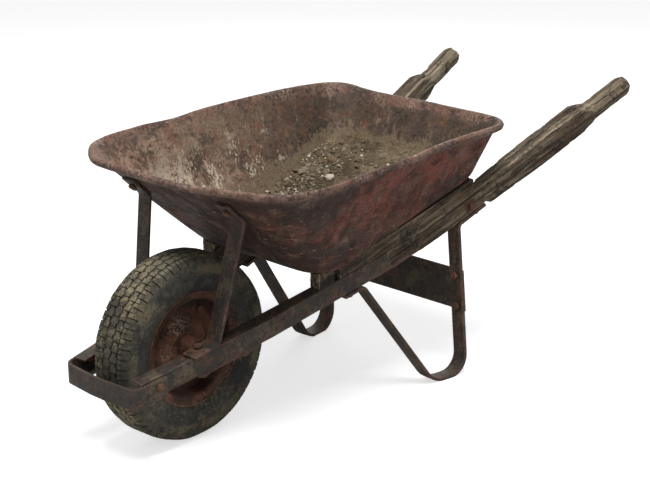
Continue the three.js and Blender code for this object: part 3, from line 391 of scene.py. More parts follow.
floor_level = TRAY_FLOOR_Z + TRAY_SLOPE * (places[:, 0] - TRAY_FLOOR_X)
mark(tray, "climb", np.clip((places[:, 2] - floor_level) / (rim_top - floor_level), 0, 1))

tray_look, tree, shader, at = new_look("worn_tray_paint", 0.62, 0.0)
along = add_node(tree, "ShaderNodeSeparateXYZ", {"Vector": at}).outputs["X"]
climb = marked(tree, "climb")
inner = marked(tree, "inner")
rim = marked(tree, "rim")
low_down = ramp(tree, climb, 0.75, 0.05)
to_front = ramp(tree, along, WHEEL_X + 0.34, WHEEL_X + 0.02)
outside = coat(tree, PAINT_RED, PAINT_DARK, at,
               size=5.0, cover=0.5, softness=0.12, breakup=0.35)
outside = coat(tree, outside, paint(128, 80, 68), at,
               size=11.0, cover=0.38, softness=0.08, breakup=0.9, strength=0.5)
# Grime in patches, denser towards the front and the bottom: partly real grime, partly painted shade on the
# front wall and the underside
grime_and_shade_cover = combine(tree, "MULTIPLY_ADD", low_down, 0.16, 0.38)
grime_and_shade_cover = combine(tree, "MULTIPLY_ADD", to_front, 0.26, grime_and_shade_cover)
outside = coat(tree, outside, GRIME_AND_SHADE, at,
               size=6.5, cover=grime_and_shade_cover, softness=0.09, breakup=0.5, strength=0.88)
outside = coat(tree, outside, RUST_BROWN, at,
               size=17.0, cover=0.42, softness=0.05, breakup=0.6, strength=0.6)
outside = coat(tree, outside, paint(98, 88, 70), at,
               size=23.0, cover=0.36, softness=0.05, breakup=0.6, strength=0.55)
outside = coat(tree, outside, paint(30, 24, 21), at,
               size=40.0, cover=0.38, softness=0.04, breakup=0.7, strength=0.75)
runs = stretched(tree, at, (34, 34, 6))
outside = coat(tree, outside, paint(52, 38, 32), runs,
               size=1.0, cover=0.45, softness=0.06, breakup=0.9, strength=0.7)
outside = coat(tree, outside, paint(120, 104, 90), at,
               size=34.0, cover=0.335, softness=0.03, breakup=0.9, strength=0.6)
scratches = stretched(tree, at, (14, 14, 160), (0.3, 0.9, 0.2))
outside = coat(tree, outside, paint(140, 104, 90), scratches,
               size=1.0, cover=0.32, softness=0.02, breakup=0.1, strength=0.55)
down_wall = stretched(tree, at, (3.2, 3.2, 0.9))
within = coat(tree, paint(134, 113, 97), paint(104, 72, 58), at,
              size=7.0, cover=0.46, softness=0.1, breakup=0.7, strength=0.8)
within = coat(tree, within, paint(104, 86, 72), down_wall,
              size=3.0, cover=0.5, softness=0.08, breakup=0.5, strength=0.75)
within = coat(tree, within, paint(88, 74, 60), at,
              size=4.0, cover=0.5, softness=0.08, breakup=0.6, strength=0.6)
within = coat(tree, within, paint(60, 50, 43), at,
              size=9.0, cover=0.46, softness=0.07, breakup=0.8, strength=0.8)
# Darker towards the rear of the inside, in vertical patches
rearwards = ramp(tree, along, WHEEL_X + 0.36, WHEEL_X + 0.60)
rear_darkening = patch_mask(tree, down_wall, size=4.0, cover=0.62, softness=0.12, breakup=0.7)
within = layer(tree, within, paint(58, 50, 43), times(tree, rearwards, rear_darkening), 0.8)
lime_cover = combine(tree, "MULTIPLY_ADD", ramp(tree, along, WHEEL_X + 0.42, WHEEL_X + 0.12), 0.19, 0.36)
trickles = stretched(tree, at, (24, 24, 7))
lime = patch_mask(tree, trickles, size=1.0, cover=lime_cover, softness=0.05, breakup=1.0)
streaks = times(tree, lime, ramp(tree, climb, 0.0, 0.1), ramp(tree, climb, 0.9, 0.45),
                ramp(tree, along, WHEEL_X + 0.72, WHEEL_X + 0.40))
within = layer(tree, within, LIME_WHITE, streaks, 0.7)
within = coat(tree, within, paint(106, 68, 52), at,
              size=31.0, cover=0.38, softness=0.05, breakup=0.8, strength=0.55)
mud_cover = combine(tree, "MULTIPLY_ADD", ramp(tree, climb, 0.45, 0.08), 0.55, 0.20)
within = coat(tree, within, MUD, at,
              size=14.0, cover=mud_cover, softness=0.06, breakup=0.7, strength=0.9)
within = coat(tree, within, paint(38, 32, 28), at,
              size=70.0, cover=0.36, softness=0.03, breakup=0.6, strength=0.75)
colour = layer(tree, outside, within, inner)
edge = coat(tree, paint(104, 80, 67), paint(58, 46, 40), at,
            size=13.0, cover=0.48, softness=0.08, breakup=0.8)
edge = coat(tree, edge, paint(98, 62, 51), at,
            size=24.0, cover=0.38, softness=0.06, breakup=0.7, strength=0.6)
edge = coat(tree, edge, paint(150, 132, 118), at,
            size=19.0, cover=0.35, softness=0.07, breakup=1.0, strength=0.65)
colour = gritty(tree, layer(tree, colour, edge, rim), at, 150.0, 0.42)
tree.links.new(colour, shader.inputs["Base Color"])
gloss = combine(tree, "MULTIPLY_ADD", rim, 0.14, 0.14)
tree.links.new(gloss, shader.inputs["Specular IOR Level"])
dullness = add_node(tree, "ShaderNodeMapRange",
                    {"Value": noise_value(tree, at, 30.0), "From Min": 0.3, "From Max": 0.7,
                     "To Min": 0.42, "To Max": 0.85}).outputs[0]
tree.links.new(dullness, shader.inputs["Roughness"])
pitting = noise_value(tree, at, 120.0, 6.0, 0.7)
waves = noise_value(tree, at, 26.0, 5.0)
bumps(tree, shader, (pitting, 0.0012), (waves, 0.0022))
hand_over(tray, ["tray"], "frame", [tray_look], 40)


# Dried soil: wet earth that was left in the tray and set hard, with gravel and crumbs on top
# The crust is the CAD solid with a rough surface; the stones are broken pebbles scattered over it
SOIL_BROWN = paint(108, 93, 73)
SOIL_DARK = paint(78, 67, 52)
# how many stones there are from one radius to another
STONE_SIZES = [(1500, 0.0012, 0.003), (520, 0.003, 0.005), (110, 0.005, 0.008), (22, 0.008, 0.012)]
GRAVEL_HEAP = Vector((WHEEL_X + 0.54, 0.155, 0))
HEAP_SHARE = 0.42
HEAP_SPREAD = (0.065, 0.042)
SOIL_MIDDLE = np.array((WHEEL_X + 0.41, 0))
SOIL_SHRINK = 0.016
SOIL_SINK = 0.003
DAMP_REACH = 0.11
STONES_BELOW = 0.5
CRUST_UPWARD = 0.35
GROUND_UPWARD = 0.6
DROP_FROM = 0.9
SCATTER_FORWARD = 0.07
SCATTER_SHORT = 0.02
PEBBLE_FORM = (1.15, 0.9, 0.66)
PEBBLE_ROUGHNESS = 0.42
STONE_LIFT = 0.22

crust = copy_of("dried_soil", "soil_crust")
apply_modifier(crust, "REMESH", mode="VOXEL", voxel_size=0.0034)
places = vertex_places(crust)
normals = vertex_normals(crust)
for i, place in enumerate(places):
    if normals[i, 2] > CRUST_UPWARD:
        spot = Vector(place)
        clods = noise.noise(spot * 34) * 0.0026 + abs(noise.noise(spot * 85)) * 0.0028
        crumbs = noise.noise(spot * 190) * 0.0012
        places[i, 2] += clods + crumbs
    else:
        places[i] -= normals[i] * SOIL_SINK
places[:, :2] += (SOIL_MIDDLE - places[:, :2]) * SOIL_SHRINK
move_vertices(crust, places)
from_heap = np.hypot(places[:, 0] - GRAVEL_HEAP.x, places[:, 1] - GRAVEL_HEAP.y)
mark(crust, "damp", np.exp(-((from_heap / DAMP_REACH) ** 2)))
soil_look, tree, shader, at = new_look("dried_soil", 0.95)
colour = coat(tree, SOIL_BROWN, SOIL_DARK, at,
              size=12.0, cover=0.48, softness=0.1, breakup=0.6)
colour = coat(tree, colour, paint(136, 122, 98), at,
              size=26.0, cover=0.44, softness=0.07, breakup=0.7, strength=0.7)
dampness = patch_mask(tree, at, size=22.0, cover=0.6, softness=0.1, breakup=0.7)
wet = times(tree, marked(tree, "damp"), dampness)
colour = layer(tree, colour, paint(52, 44, 35), wet, 0.85)
colour = coat(tree, colour, paint(58, 50, 38), at,
              size=70.0, cover=0.42, softness=0.05, breakup=0.7, strength=0.8)
colour = coat(tree, colour, paint(112, 84, 62), at,
              size=9.0, cover=0.38, softness=0.08, breakup=0.6, strength=0.5)
tree.links.new(gritty(tree, colour, at, 260.0, 0.4), shader.inputs["Base Color"])
sand = noise_value(tree, at, 420.0, 4.0, 0.7)
lumps = noise_value(tree, at, 130.0, 5.0, 0.7)
bumps(tree, shader, (sand, 0.0012), (lumps, 0.004))
hand_over(crust, ["dried_soil"], "frame", [soil_look], 60)

pebbles = []
for k in range(6):
    bpy.ops.object.select_all(action="DESELECT")
    bpy.ops.mesh.primitive_ico_sphere_add(subdivisions=1, radius=1)
    pebble = bpy.context.object
    shape = vertex_places(pebble)
    for i, place in enumerate(shape):
        shape[i] *= 1 + PEBBLE_ROUGHNESS * noise.noise(Vector(place) * 1.3 + Vector((k * 7, 0, 0)))
    shape *= PEBBLE_FORM
    pebbles.append((shape, [tuple(face.vertices) for face in pebble.data.polygons]))
    bpy.data.objects.remove(pebble)

stone_places, stone_faces, stone_shades = [], [], []
crust_low, crust_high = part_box("dried_soil")
for count, smallest, largest in STONE_SIZES:
    for _ in range(count):
        if random.random() < HEAP_SHARE:
            spot = GRAVEL_HEAP + Vector([random.gauss(0, spread) for spread in HEAP_SPREAD] + [0])
        else:
            spot = Vector((random.uniform(crust_low.x - SCATTER_FORWARD, crust_high.x - SCATTER_SHORT),
                           random.uniform(crust_low.y, crust_high.y), 0))
        above = Vector((spot.x, spot.y, DROP_FROM))
        landings = [piece.ray_cast(above, Vector((0, 0, -1))) for piece in (crust, tray)]
        landings = [landing for landing in landings if landing[0] and landing[2].z > GROUND_UPWARD]
        if not landings:
            continue
        ground = max((landing[1] for landing in landings), key=lambda place: place.z)
        if ground.z > STONES_BELOW:
            continue
        size = random.uniform(smallest, largest)
        shape, faces = random.choice(pebbles)
        heading = Matrix.Rotation(random.uniform(0, 6.28), 3, "Z")
        tilt = Matrix.Rotation(random.gauss(0, 0.4), 3, "X")
        turn = np.array(heading @ tilt)
        start = sum(len(group) for group in stone_places)
        stone_places.append(shape @ turn.T * size + np.array(ground) + (0, 0, size * STONE_LIFT))
        stone_faces += [tuple(start + v for v in face) for face in faces]
        stone_shades += [random.random()] * len(shape)
gravel_mesh = bpy.data.meshes.new("gravel")
gravel_mesh.from_pydata(np.concatenate(stone_places).tolist(), [], stone_faces)
gravel = bpy.data.objects.new("gravel", gravel_mesh)
scene.collection.objects.link(gravel)
mark(gravel, "shade", stone_shades)
stone_look, tree, shader, at = new_look("gravel_stone", 0.85)
shade = marked(tree, "shade")
colour = layer(tree, paint(92, 82, 66), paint(126, 116, 99), ramp(tree, shade, 0.5, 0.75))
colour = layer(tree, colour, paint(176, 168, 154), ramp(tree, shade, 0.88, 0.94))
colour = layer(tree, colour, paint(96, 78, 62), ramp(tree, shade, 0.16, 0.08))
colour = coat(tree, colour, SOIL_BROWN, at,
              size=90.0, cover=0.44, softness=0.08, breakup=0.5, strength=0.7)
tree.links.new(gritty(tree, colour, at, 400.0, 0.3), shader.inputs["Base Color"])
bumps(tree, shader, (noise_value(tree, at, 500.0), 0.0006))
hand_over(gravel, [], "frame", [stone_look], 50)


# Timber: two long handles let into the rails, with hand-shaped grips, and the packing under the tray
# Softwood gone grey, its arrises worn paler, with open grain, splits and black dirt
WOOD_GREY = paint(90, 80, 67)
WOOD_PALE = paint(146, 133, 113)
WOOD_DARK = paint(36, 31, 27)
WOOD_YELLOW = paint(104, 82, 61)
SPLAY = math.radians(7.435)
GRAIN_PITCH = math.radians(20)
GRAIN_SHIFT = 3
CHIP_DEPTH = 0.008
ARRIS_FROM = 0.97
ARRIS_BLEND = 0.1

wood_look, tree, shader, at = new_look("weathered_timber", 0.85)
grain_at = add_node(tree, "ShaderNodeAttribute", attribute_name="grain").outputs["Vector"]
worn = marked(tree, "worn")
long_grain = stretched(tree, grain_at, (5, 95, 95))
broad_grain = stretched(tree, grain_at, (2.2, 26, 26))
colour = coat(tree, WOOD_GREY, WOOD_DARK, broad_grain,
              size=1.0, cover=0.5, softness=0.1, breakup=0.5, strength=0.85)
colour = coat(tree, colour, WOOD_PALE, long_grain,
              size=1.0, cover=0.45, softness=0.05, breakup=0.4, strength=0.6)
colour = coat(tree, colour, WOOD_YELLOW, grain_at,
              size=5.0, cover=0.42, softness=0.1, breakup=0.8, strength=0.3)
colour = coat(tree, colour, paint(62, 50, 40), grain_at,
              size=9.0, cover=0.47, softness=0.08, breakup=0.6, strength=0.7)
short_grain = stretched(tree, grain_at, (14, 40, 40))
rubbing = patch_mask(tree, short_grain, size=1.0, cover=0.6, softness=0.1, breakup=0.4)
arris = times(tree, worn, rubbing)
colour = layer(tree, colour, paint(150, 137, 116), arris, 0.75)
dark_grain = stretched(tree, grain_at, (3, 60, 60))
colour = coat(tree, colour, paint(30, 26, 23), dark_grain,
              size=1.0, cover=0.4, softness=0.05, breakup=0.4, strength=0.7)
fine_grain = stretched(tree, grain_at, (6, 170, 170))
splits = patch_mask(tree, fine_grain, size=1.0, cover=0.385, softness=0.02, breakup=0.1)
colour = layer(tree, colour, paint(30, 25, 21), splits, 0.9)
dirt = patch_mask(tree, grain_at, size=13.0, cover=0.40, softness=0.06, breakup=0.7)
colour = layer(tree, colour, paint(36, 31, 27), dirt, 0.8)
tree.links.new(gritty(tree, colour, long_grain, 2.5, 0.4), shader.inputs["Base Color"])
fibres = noise_value(tree, long_grain, 1.0, 5.0)
unsplit = combine(tree, "SUBTRACT", 1.0, splits)
hollows = noise_value(tree, grain_at, 60.0)
bumps(tree, shader, (fibres, 0.0016), (unsplit, 0.0012), (hollows, 0.001))


def timber(node, name, side, voxel, roughness):
    """A worn copy of a timber CAD node, with its grain laid along the rail of its side."""
    piece = copy_of(node, name)
    apply_modifier(piece, "REMESH", mode="VOXEL", voxel_size=voxel)
    places = vertex_places(piece)
    normals = vertex_normals(piece)
    along = Vector((math.cos(GRAIN_PITCH) * math.cos(SPLAY), side * math.cos(GRAIN_PITCH) * math.sin(SPLAY),
                    math.sin(GRAIN_PITCH)))
    up = (Vector((0, 0, 1)) - along * along.z).normalized()
    basis = np.array([along, along.cross(up), up])
    grain = places @ basis.T + side * GRAIN_SHIFT
    worn = np.clip((ARRIS_FROM - np.abs(normals @ basis.T).max(1)) / ARRIS_BLEND, 0, 1)
    for i, spot in enumerate(grain):
        u, v, w = spot
        furrow = noise.noise(Vector((u * 7, v * 130, w * 130))) * 0.0007
        chip = max(0, noise.noise(Vector((u * 30, v * 38, w * 38))) - 0.18) * worn[i] * CHIP_DEPTH
        sway = noise.noise(Vector(spot) * 12) * 0.0008
        places[i] += normals[i] * (furrow + (sway - chip) * roughness)
    move_vertices(piece, places)
    attribute = piece.data.attributes.new("grain", "FLOAT_VECTOR", "POINT")
    attribute.data.foreach_set("vector", grain.astype(np.float32).ravel())
    mark(piece, "worn", worn)
    hand_over(piece, [node], "frame", [wood_look], 60)


for side_name, side in (("left", -1), ("right", 1)):
    timber(f"handle_{side_name}", f"timber_handle_{side_name}", side, voxel=0.0032, roughness=1.0)
    timber(f"riser_{side_name}", f"timber_riser_{side_name}", side, voxel=0.0028, roughness=0.4)
    timber(f"riser_block_{side_name}", f"timber_block_{side_name}", side, voxel=0.0022, roughness=0.4)


# Steel frame: channel rails, nose guard, strap legs, braces, axle brackets and the cross plate
# Rolled channel and flat bar, bent cold and bolted to one another and to the handles
# Bare mild steel gone dark brown, with lighter rust, pink worn edges that also carry painted highlight, and
# a little dried mud
STEEL_DARK = paint(56, 51, 45)
STEEL_EDGE_WEAR_AND_HIGHLIGHT = paint(152, 114, 96)
EDGE_REACH = 0.004
# the width of each piece's rounded edges, which are painted as worn edges with painted highlight
STEEL_PIECES = {
    "nose_guard": 0.0011, "cross_plate": 0.0007,
    "rail_left": 0.0012, "rail_right": 0.0012,
    "leg_left": 0.0012, "leg_right": 0.0012,
    "brace_left": 0.0011, "brace_right": 0.0011,
    "axle_bracket_left": 0.0009, "axle_bracket_right": 0.0009,
}


def near_edge(tree, reach):
    """Where the surface lies within reach of a sharp edge."""
    rounded = add_node(tree, "ShaderNodeBevel", {"Radius": reach}, samples=6).outputs["Normal"]
    plain = add_node(tree, "ShaderNodeNewGeometry").outputs["Normal"]
    agreement = add_node(tree, "ShaderNodeVectorMath", {0: rounded, 1: plain}, operation="DOT_PRODUCT")
    return ramp(tree, agreement.outputs["Value"], 0.995, 0.9)


# Dark steel: the colour of flat face and rubbed edge alike, with rust, mud and soot in patches
dark_steel, inside, out = new_group("dark_steel", {"Vector": "vector"}, {"Color": "colour"})
at = inside.outputs["Vector"]
colour = coat(dark_steel, STEEL_DARK, paint(46, 41, 38), at,
              size=9.0, cover=0.48, softness=0.1, breakup=0.5, strength=0.8)
colour = coat(dark_steel, colour, paint(92, 64, 50), at,
              size=13.0, cover=0.42, softness=0.07, breakup=0.7, strength=0.65)
colour = coat(dark_steel, colour, paint(92, 84, 68), at,
              size=19.0, cover=0.42, softness=0.07, breakup=0.6, strength=0.6)
colour = coat(dark_steel, colour, paint(116, 80, 64), at,
              size=48.0, cover=0.36, softness=0.04, breakup=0.8, strength=0.6)
colour = coat(dark_steel, colour, paint(32, 28, 26), at,
              size=60.0, cover=0.38, softness=0.04, breakup=0.6, strength=0.75)
dark_steel.links.new(gritty(dark_steel, colour, at, 240.0, 0.35), out.inputs["Color"])


def steel_colour(tree, at):
    return add_node(tree, "ShaderNodeGroup", {"Vector": at}, node_tree=dark_steel).outputs["Color"]


steel_look, tree, shader, at = new_look("dark_rusty_steel", 0.48, 0.15)
shader.inputs["Specular IOR Level"].default_value = 0.2
# Lighter along the sharp edges, in patches: worn edges, and painted highlight
bare_and_lit = patch_mask(tree, at, size=26.0, cover=0.56, softness=0.1, breakup=1.0)
rubbed_and_highlit = times(tree, near_edge(tree, EDGE_REACH), bare_and_lit)
colour = layer(tree, steel_colour(tree, at), paint(126, 88, 72), rubbed_and_highlit, 0.8)
tree.links.new(colour, shader.inputs["Base Color"])
pitting = noise_value(tree, at, 190.0, 6.0, 0.75)
bumps(tree, shader, (pitting, 0.0022), (noise_value(tree, at, 36.0), 0.002))
# The rounded edges: worn bare steel in patches, and painted highlight
edge_look, tree, shader, at = new_look("rubbed_and_highlit_steel_edge", 0.5, 0.2)
bare_and_lit = patch_mask(tree, at, size=21.0, cover=0.62, softness=0.1, breakup=0.9)
colour = layer(tree, steel_colour(tree, at), STEEL_EDGE_WEAR_AND_HIGHLIGHT, bare_and_lit, 0.9)
tree.links.new(colour, shader.inputs["Base Color"])
bumps(tree, shader, (noise_value(tree, at, 180.0, 6.0, 0.7), 0.001))


def bevelled(node, name, width, segments=2):
    """A copy of a CAD node without its inner lines, its sharp edges rounded and marked as edge."""
    piece = copy_of(node, name)
    select_only(piece)
    bpy.ops.object.mode_set(mode="EDIT")
    bpy.ops.mesh.select_all(action="SELECT")
    bpy.ops.mesh.dissolve_limited(angle_limit=math.radians(1.5))
    bpy.ops.object.mode_set(mode="OBJECT")
    apply_modifier(piece, "BEVEL", width=width, segments=segments, limit_method="ANGLE",
                   angle_limit=math.radians(38), material=1, use_clamp_overlap=True)
    return piece


for node, width in STEEL_PIECES.items():
    piece = bevelled(node, f"steel_{node}", width)
    hand_over(piece, [node], "frame", [steel_look, edge_look])


# Wheel: a pneumatic tyre on a rim of two pressed halves, bolted round a steel hub with plain bushes
# Rubber dusty with dry mud on the tread and dark on the wall, with painted shade low in the tread; the rim
# deep red-brown with painted shade in its well and a painted highlight on the boss
AXLE = (WHEEL_X, 0, WHEEL_Z)
TREAD_PITCHES = 57
CELLS_PER_PITCH = 8
TREAD_FROM = 183
CROWN_FROM = 196
GROOVE_HALF = 2.0
GROOVE_PLACES = (11.6, 27.6)
ZIGZAG = 3.1
GROOVE_DEPTH = 0.0048
CUT_DEPTH = 0.002
BEAD_RADIUS = 0.115
WEAR_DEPTH = 0.0014
TYRE_WEAR = ((22, 0.0012), (60, 0.0006))
LUGS_FROM = 30
BLOCK_CUT = (13, 27)
CROWN_CUT = 8
SHOULDER_CUT = (31, 42)
RING_WELD = 0.00001
RIM_STEPS = 96
HUB_EDGE = 0.001
# points across and out from the axle in millimetres, from the bead or the lip to the middle
TYRE_PROFILE = [
    (35, 104), (36.5, 111), (40, 119), (44.5, 127), (48.5, 135), (51.2, 144), (52.4, 154), (52.4, 164),
    (51.6, 173), (50.4, 180), (49.2, 185.5), (47.4, 190), (44.6, 193.3), (41.2, 195.5), (37.8, 197),
    (34.4, 198), (31, 198.7), (27.8, 199.2), (24.6, 199.5), (21.4, 199.7), (18.2, 199.8), (15, 199.9),
    (11.8, 200), (8.6, 200), (5.6, 200), (2.8, 200),
]
TYRE_CHAMBER = [(33, 106), (40, 130), (43, 150), (41, 172), (30, 184), (10, 186)]
RIM_PROFILE = [
    (44, 121), (45, 122.5), (43.6, 123), (41, 121), (40, 113), (38.5, 107), (35, 104.5), (28, 103.4),
    (16, 102.6), (7, 101.4), (3.6, 98), (2.8, 92), (2.8, 84), (3, 76), (3.8, 71), (6, 66), (9.6, 60),
    (12.4, 54), (14.4, 47), (15.6, 40), (16.2, 32), (16.4, 24.4),
]
RIM_SHEET = 2.4
HALF_JOINT = 0.25


def spun(name, profile, steps):
    """A closed ring turned about the axle from a section of (y, radius) points in millimetres."""
    section = [(WHEEL_X, y / 1000, WHEEL_Z + radius / 1000) for y, radius in profile]
    mesh = bpy.data.meshes.new(name)
    mesh.from_pydata(section, [(i, (i + 1) % len(section)) for i in range(len(section))], [])
    piece = bpy.data.objects.new(name, mesh)
    scene.collection.objects.link(piece)
    select_only(piece)
    bpy.ops.object.mode_set(mode="EDIT")
    bpy.ops.mesh.select_all(action="SELECT")
    bpy.ops.mesh.spin(steps=steps, angle=2 * math.pi, center=AXLE, axis=(0, 1, 0))
    bpy.ops.mesh.select_all(action="SELECT")
    bpy.ops.mesh.remove_doubles(threshold=RING_WELD)
    bpy.ops.mesh.normals_make_consistent(inside=False)
    bpy.ops.object.mode_set(mode="OBJECT")
    return piece


def select_faces(piece, wanted):
    """Selects the faces whose middle passes the test, for the next operator in edit mode."""
    select_only(piece)
    bpy.ops.object.mode_set(mode="EDIT")
    bpy.ops.mesh.select_mode(type="FACE")
    bpy.ops.mesh.select_all(action="DESELECT")
    shape = bmesh.from_edit_mesh(piece.data)
    for face in shape.faces:
        face.select = wanted(face.calc_center_median())
    bmesh.update_edit_mesh(piece.data)


def tyre_place(middle):
    """Across the tread in millimetres, radius in millimetres, and how far round in tread pitches."""
    x, z = middle.x - WHEEL_X, middle.z - WHEEL_Z
    return middle.y * 1000, math.hypot(x, z) * 1000, math.atan2(z, x) / (2 * math.pi) * TREAD_PITCHES


def cell_at(round_by):
    """Each tread pitch is cut into cells of equal length."""
    return int(math.floor(round_by * CELLS_PER_PITCH)) % CELLS_PER_PITCH


def deep_groove(middle):
    across, radius, round_by = tyre_place(middle)
    if radius < TREAD_FROM:
        return False
    cell = cell_at(round_by)
    shift = ZIGZAG if cell < CELLS_PER_PITCH / 2 else 0
    side = abs(across)
    inner_line, outer_line = GROOVE_PLACES
    in_inner = abs(side + shift - inner_line) < GROOVE_HALF
    in_outer = abs(side - shift - outer_line) < GROOVE_HALF
    between_lugs = side > LUGS_FROM and cell == 0
    between_blocks = BLOCK_CUT[0] < side < BLOCK_CUT[1] and cell == 4
    return in_inner or in_outer or between_lugs or between_blocks


def shallow_cut(middle):
    across, radius, round_by = tyre_place(middle)
    cell = cell_at(round_by)
    side = abs(across)
    on_crown = side < CROWN_CUT and cell == 2
    on_lug = SHOULDER_CUT[0] < side < SHOULDER_CUT[1] and cell == 4
    return radius > CROWN_FROM and (on_crown or on_lug)


outline = TYRE_PROFILE + [(0, 200)] + [(-y, r) for y, r in reversed(TYRE_PROFILE)]
outline += [(-y, r) for y, r in TYRE_CHAMBER] + TYRE_CHAMBER[::-1]
tyre = spun("treaded_tyre", outline, TREAD_PITCHES * CELLS_PER_PITCH)
for wanted, depth in ((deep_groove, GROOVE_DEPTH), (shallow_cut, CUT_DEPTH)):
    select_faces(tyre, wanted)
    bpy.ops.mesh.extrude_region_shrink_fatten(TRANSFORM_OT_shrink_fatten={"value": -depth})
    bpy.ops.object.mode_set(mode="OBJECT")
places = vertex_places(tyre)
radius = np.hypot(places[:, 0] - WHEEL_X, places[:, 2] - WHEEL_Z)
outwards = (places - AXLE) * (1, 0, 1) / radius[:, None]
for i, place in enumerate(places):
    if radius[i] > BEAD_RADIUS:
        places[i] += outwards[i] * (uneven(place, TYRE_WEAR) - WEAR_DEPTH)
move_vertices(tyre, places)

# Rings: how far a point is from the axle
rings, inside, out = new_group("rings", {"Vector": "vector"}, {"Radius": "value"})
from_axle = add_node(rings, "ShaderNodeVectorMath", {0: inside.outputs["Vector"], 1: AXLE},
                     operation="SUBTRACT").outputs[0]
flat = add_node(rings, "ShaderNodeVectorMath", {0: from_axle, 1: (1, 0, 1)}, operation="MULTIPLY").outputs[0]
length = add_node(rings, "ShaderNodeVectorMath", {0: flat}, operation="LENGTH").outputs["Value"]
rings.links.new(length, out.inputs["Radius"])

rubber_look, tree, shader, at = new_look("perished_rubber", 0.85)
ring = add_node(tree, "ShaderNodeGroup", {"Vector": at}, node_tree=rings).outputs["Radius"]
tread = ramp(tree, ring, 0.180, 0.192)
wall = coat(tree, paint(44, 44, 43), paint(66, 64, 59), at,
            size=9.0, cover=0.5, softness=0.1, breakup=0.5)
wall = coat(tree, wall, paint(104, 94, 75), at,
            size=12.0, cover=0.38, softness=0.08, breakup=0.9, strength=0.55)
splashes = patch_mask(tree, at, size=15.0, cover=0.5, softness=0.1, breakup=0.6)
mud_ring = times(tree, ramp(tree, ring, 0.158, 0.166), ramp(tree, ring, 0.186, 0.176), splashes)
wall = layer(tree, wall, paint(108, 98, 76), mud_ring, 0.55)
top = coat(tree, paint(100, 95, 81), paint(66, 63, 56), at,
           size=8.0, cover=0.47, softness=0.1, breakup=0.5)
top = coat(tree, top, paint(136, 123, 98), at,
           size=11.0, cover=0.43, softness=0.1, breakup=1.0, strength=0.65)
# Painted shade: darker low in the tread, in the grooves and on the shoulders
groove_shade = times(tree, ramp(tree, ring, 0.1962, 0.1938), tread)
colour = layer(tree, wall, top, tread)
colour = layer(tree, colour, paint(40, 37, 31), groove_shade, 0.6)
colour = coat(tree, colour, paint(44, 42, 36), at,
              size=46.0, cover=0.40, softness=0.05, breakup=0.6, strength=0.6)
tree.links.new(gritty(tree, colour, at, 200.0, 0.34), shader.inputs["Base Color"])
crazing = noise_value(tree, at, 220.0, 5.0, 0.7)
bumps(tree, shader, (crazing, 0.0009), (noise_value(tree, at, 55.0), 0.0014))
hand_over(tyre, ["tyre"], "wheel", [rubber_look], 38)

rim_look, tree, shader, at = new_look("red_brown_rim", 0.6, 0.2)
ring = add_node(tree, "ShaderNodeGroup", {"Vector": at}, node_tree=rings).outputs["Radius"]
colour = coat(tree, paint(94, 62, 49), paint(60, 44, 37), at,
              size=14.0, cover=0.5, softness=0.09, breakup=0.6)
colour = coat(tree, colour, paint(112, 76, 60), at,
              size=30.0, cover=0.40, softness=0.06, breakup=0.8, strength=0.6)
colour = coat(tree, colour, paint(44, 34, 30), at,
              size=20.0, cover=0.42, softness=0.06, breakup=0.6, strength=0.8)
# Painted shade: darker in the rim's deep well
well_shade = times(tree, ramp(tree, ring, 0.082, 0.091), ramp(tree, ring, 0.108, 0.1))
colour = layer(tree, colour, paint(34, 26, 23), well_shade, 0.7)
# Painted highlight: a pale patch on the boss's shoulder, on its upper left, towards the light
from_axle = add_node(tree, "ShaderNodeVectorMath", {0: at, 1: AXLE}, operation="SUBTRACT")
toward_light = add_node(tree, "ShaderNodeVectorMath", {0: from_axle.outputs[0], 1: (-0.7, 0, 0.7)},
                   operation="DOT_PRODUCT").outputs["Value"]
lit_shoulder = times(tree, ramp(tree, ring, 0.03, 0.04), ramp(tree, ring, 0.072, 0.058),
                 ramp(tree, toward_light, 0.015, 0.045))
bare_and_lit = patch_mask(tree, at, size=24.0, cover=0.46, softness=0.07, breakup=1.2)
rubbed_and_highlit = times(tree, lit_shoulder, bare_and_lit)
colour = layer(tree, colour, paint(158, 142, 126), rubbed_and_highlit, 0.65)
chafed = patch_mask(tree, at, size=22.0, cover=0.55, softness=0.1, breakup=0.6)
lip = times(tree, ramp(tree, ring, 0.118, 0.121), chafed)
colour = layer(tree, colour, paint(126, 86, 68), lip, 0.8)
tree.links.new(gritty(tree, colour, at, 220.0, 0.35), shader.inputs["Base Color"])
pitting = noise_value(tree, at, 170.0, 6.0, 0.7)
bumps(tree, shader, (pitting, 0.0014), (noise_value(tree, at, 48.0), 0.0016))
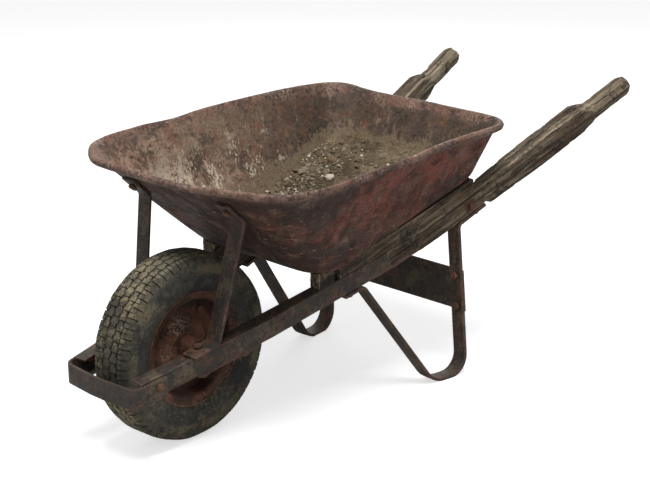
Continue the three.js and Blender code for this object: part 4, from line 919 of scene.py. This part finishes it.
for side_name, side in (("left", -1), ("right", 1)):
    face = [(side * y, r) for y, r in RIM_PROFILE]
    back = []
    for i, (y, r) in enumerate(RIM_PROFILE):
        y0, r0 = RIM_PROFILE[max(i - 1, 0)]
        y1, r1 = RIM_PROFILE[min(i + 1, len(RIM_PROFILE) - 1)]
        across, outward = np.array((r1 - r0, y0 - y1)) / math.hypot(r1 - r0, y1 - y0) * RIM_SHEET
        back.append((side * max(HALF_JOINT, y + across), r + outward))
    half = spun(f"pressed_rim_{side_name}", face + back[:2:-1], RIM_STEPS)
    hand_over(half, [f"rim_half_{side_name}"], "wheel", [rim_look], 50)
hub = bevelled("hub", "steel_hub", HUB_EDGE)
hand_over(hub, ["hub"], "wheel", [rim_look, rim_look], 40)


# Fasteners: hexagon bolts with their nuts, domed screws, square washers, the axle with its nuts and spacers
# Rusted zinc, near the colour of what they hold, with rubbed corners
BOLT_EDGE = 0.0008

bolt_look, tree, shader, at = new_look("rusted_bolt", 0.6, 0.25)
colour = coat(tree, paint(98, 68, 54), paint(54, 44, 38), at,
              size=45.0, cover=0.5, softness=0.1, breakup=0.5)
colour = coat(tree, colour, paint(134, 92, 72), at,
              size=90.0, cover=0.42, softness=0.06, breakup=0.6, strength=0.7)
tree.links.new(colour, shader.inputs["Base Color"])
bumps(tree, shader, (noise_value(tree, at, 300.0, 5.0, 0.7), 0.0009))
corner_look, tree, shader, at = new_look("rubbed_bolt_corner", 0.5, 0.3)
colour = coat(tree, paint(110, 78, 62), paint(150, 114, 94), at,
              size=60.0, cover=0.55, softness=0.1, breakup=0.6)
tree.links.new(colour, shader.inputs["Base Color"])
bumps(tree, shader, (noise_value(tree, at, 300.0, 5.0, 0.7), 0.0006))
wheel_nodes = set(frame["record"]["behaviour"]["bodies"]["wheel"])
for row in frame["record"]["subparts"]:
    if row["material_slot"] == "fasteners":
        node = row["node"]
        piece = bevelled(node, f"rusted_{node}", BOLT_EDGE, 1)
        body = "wheel" if node in wheel_nodes else "frame"
        hand_over(piece, [node], body, [bolt_look, corner_look], 40)
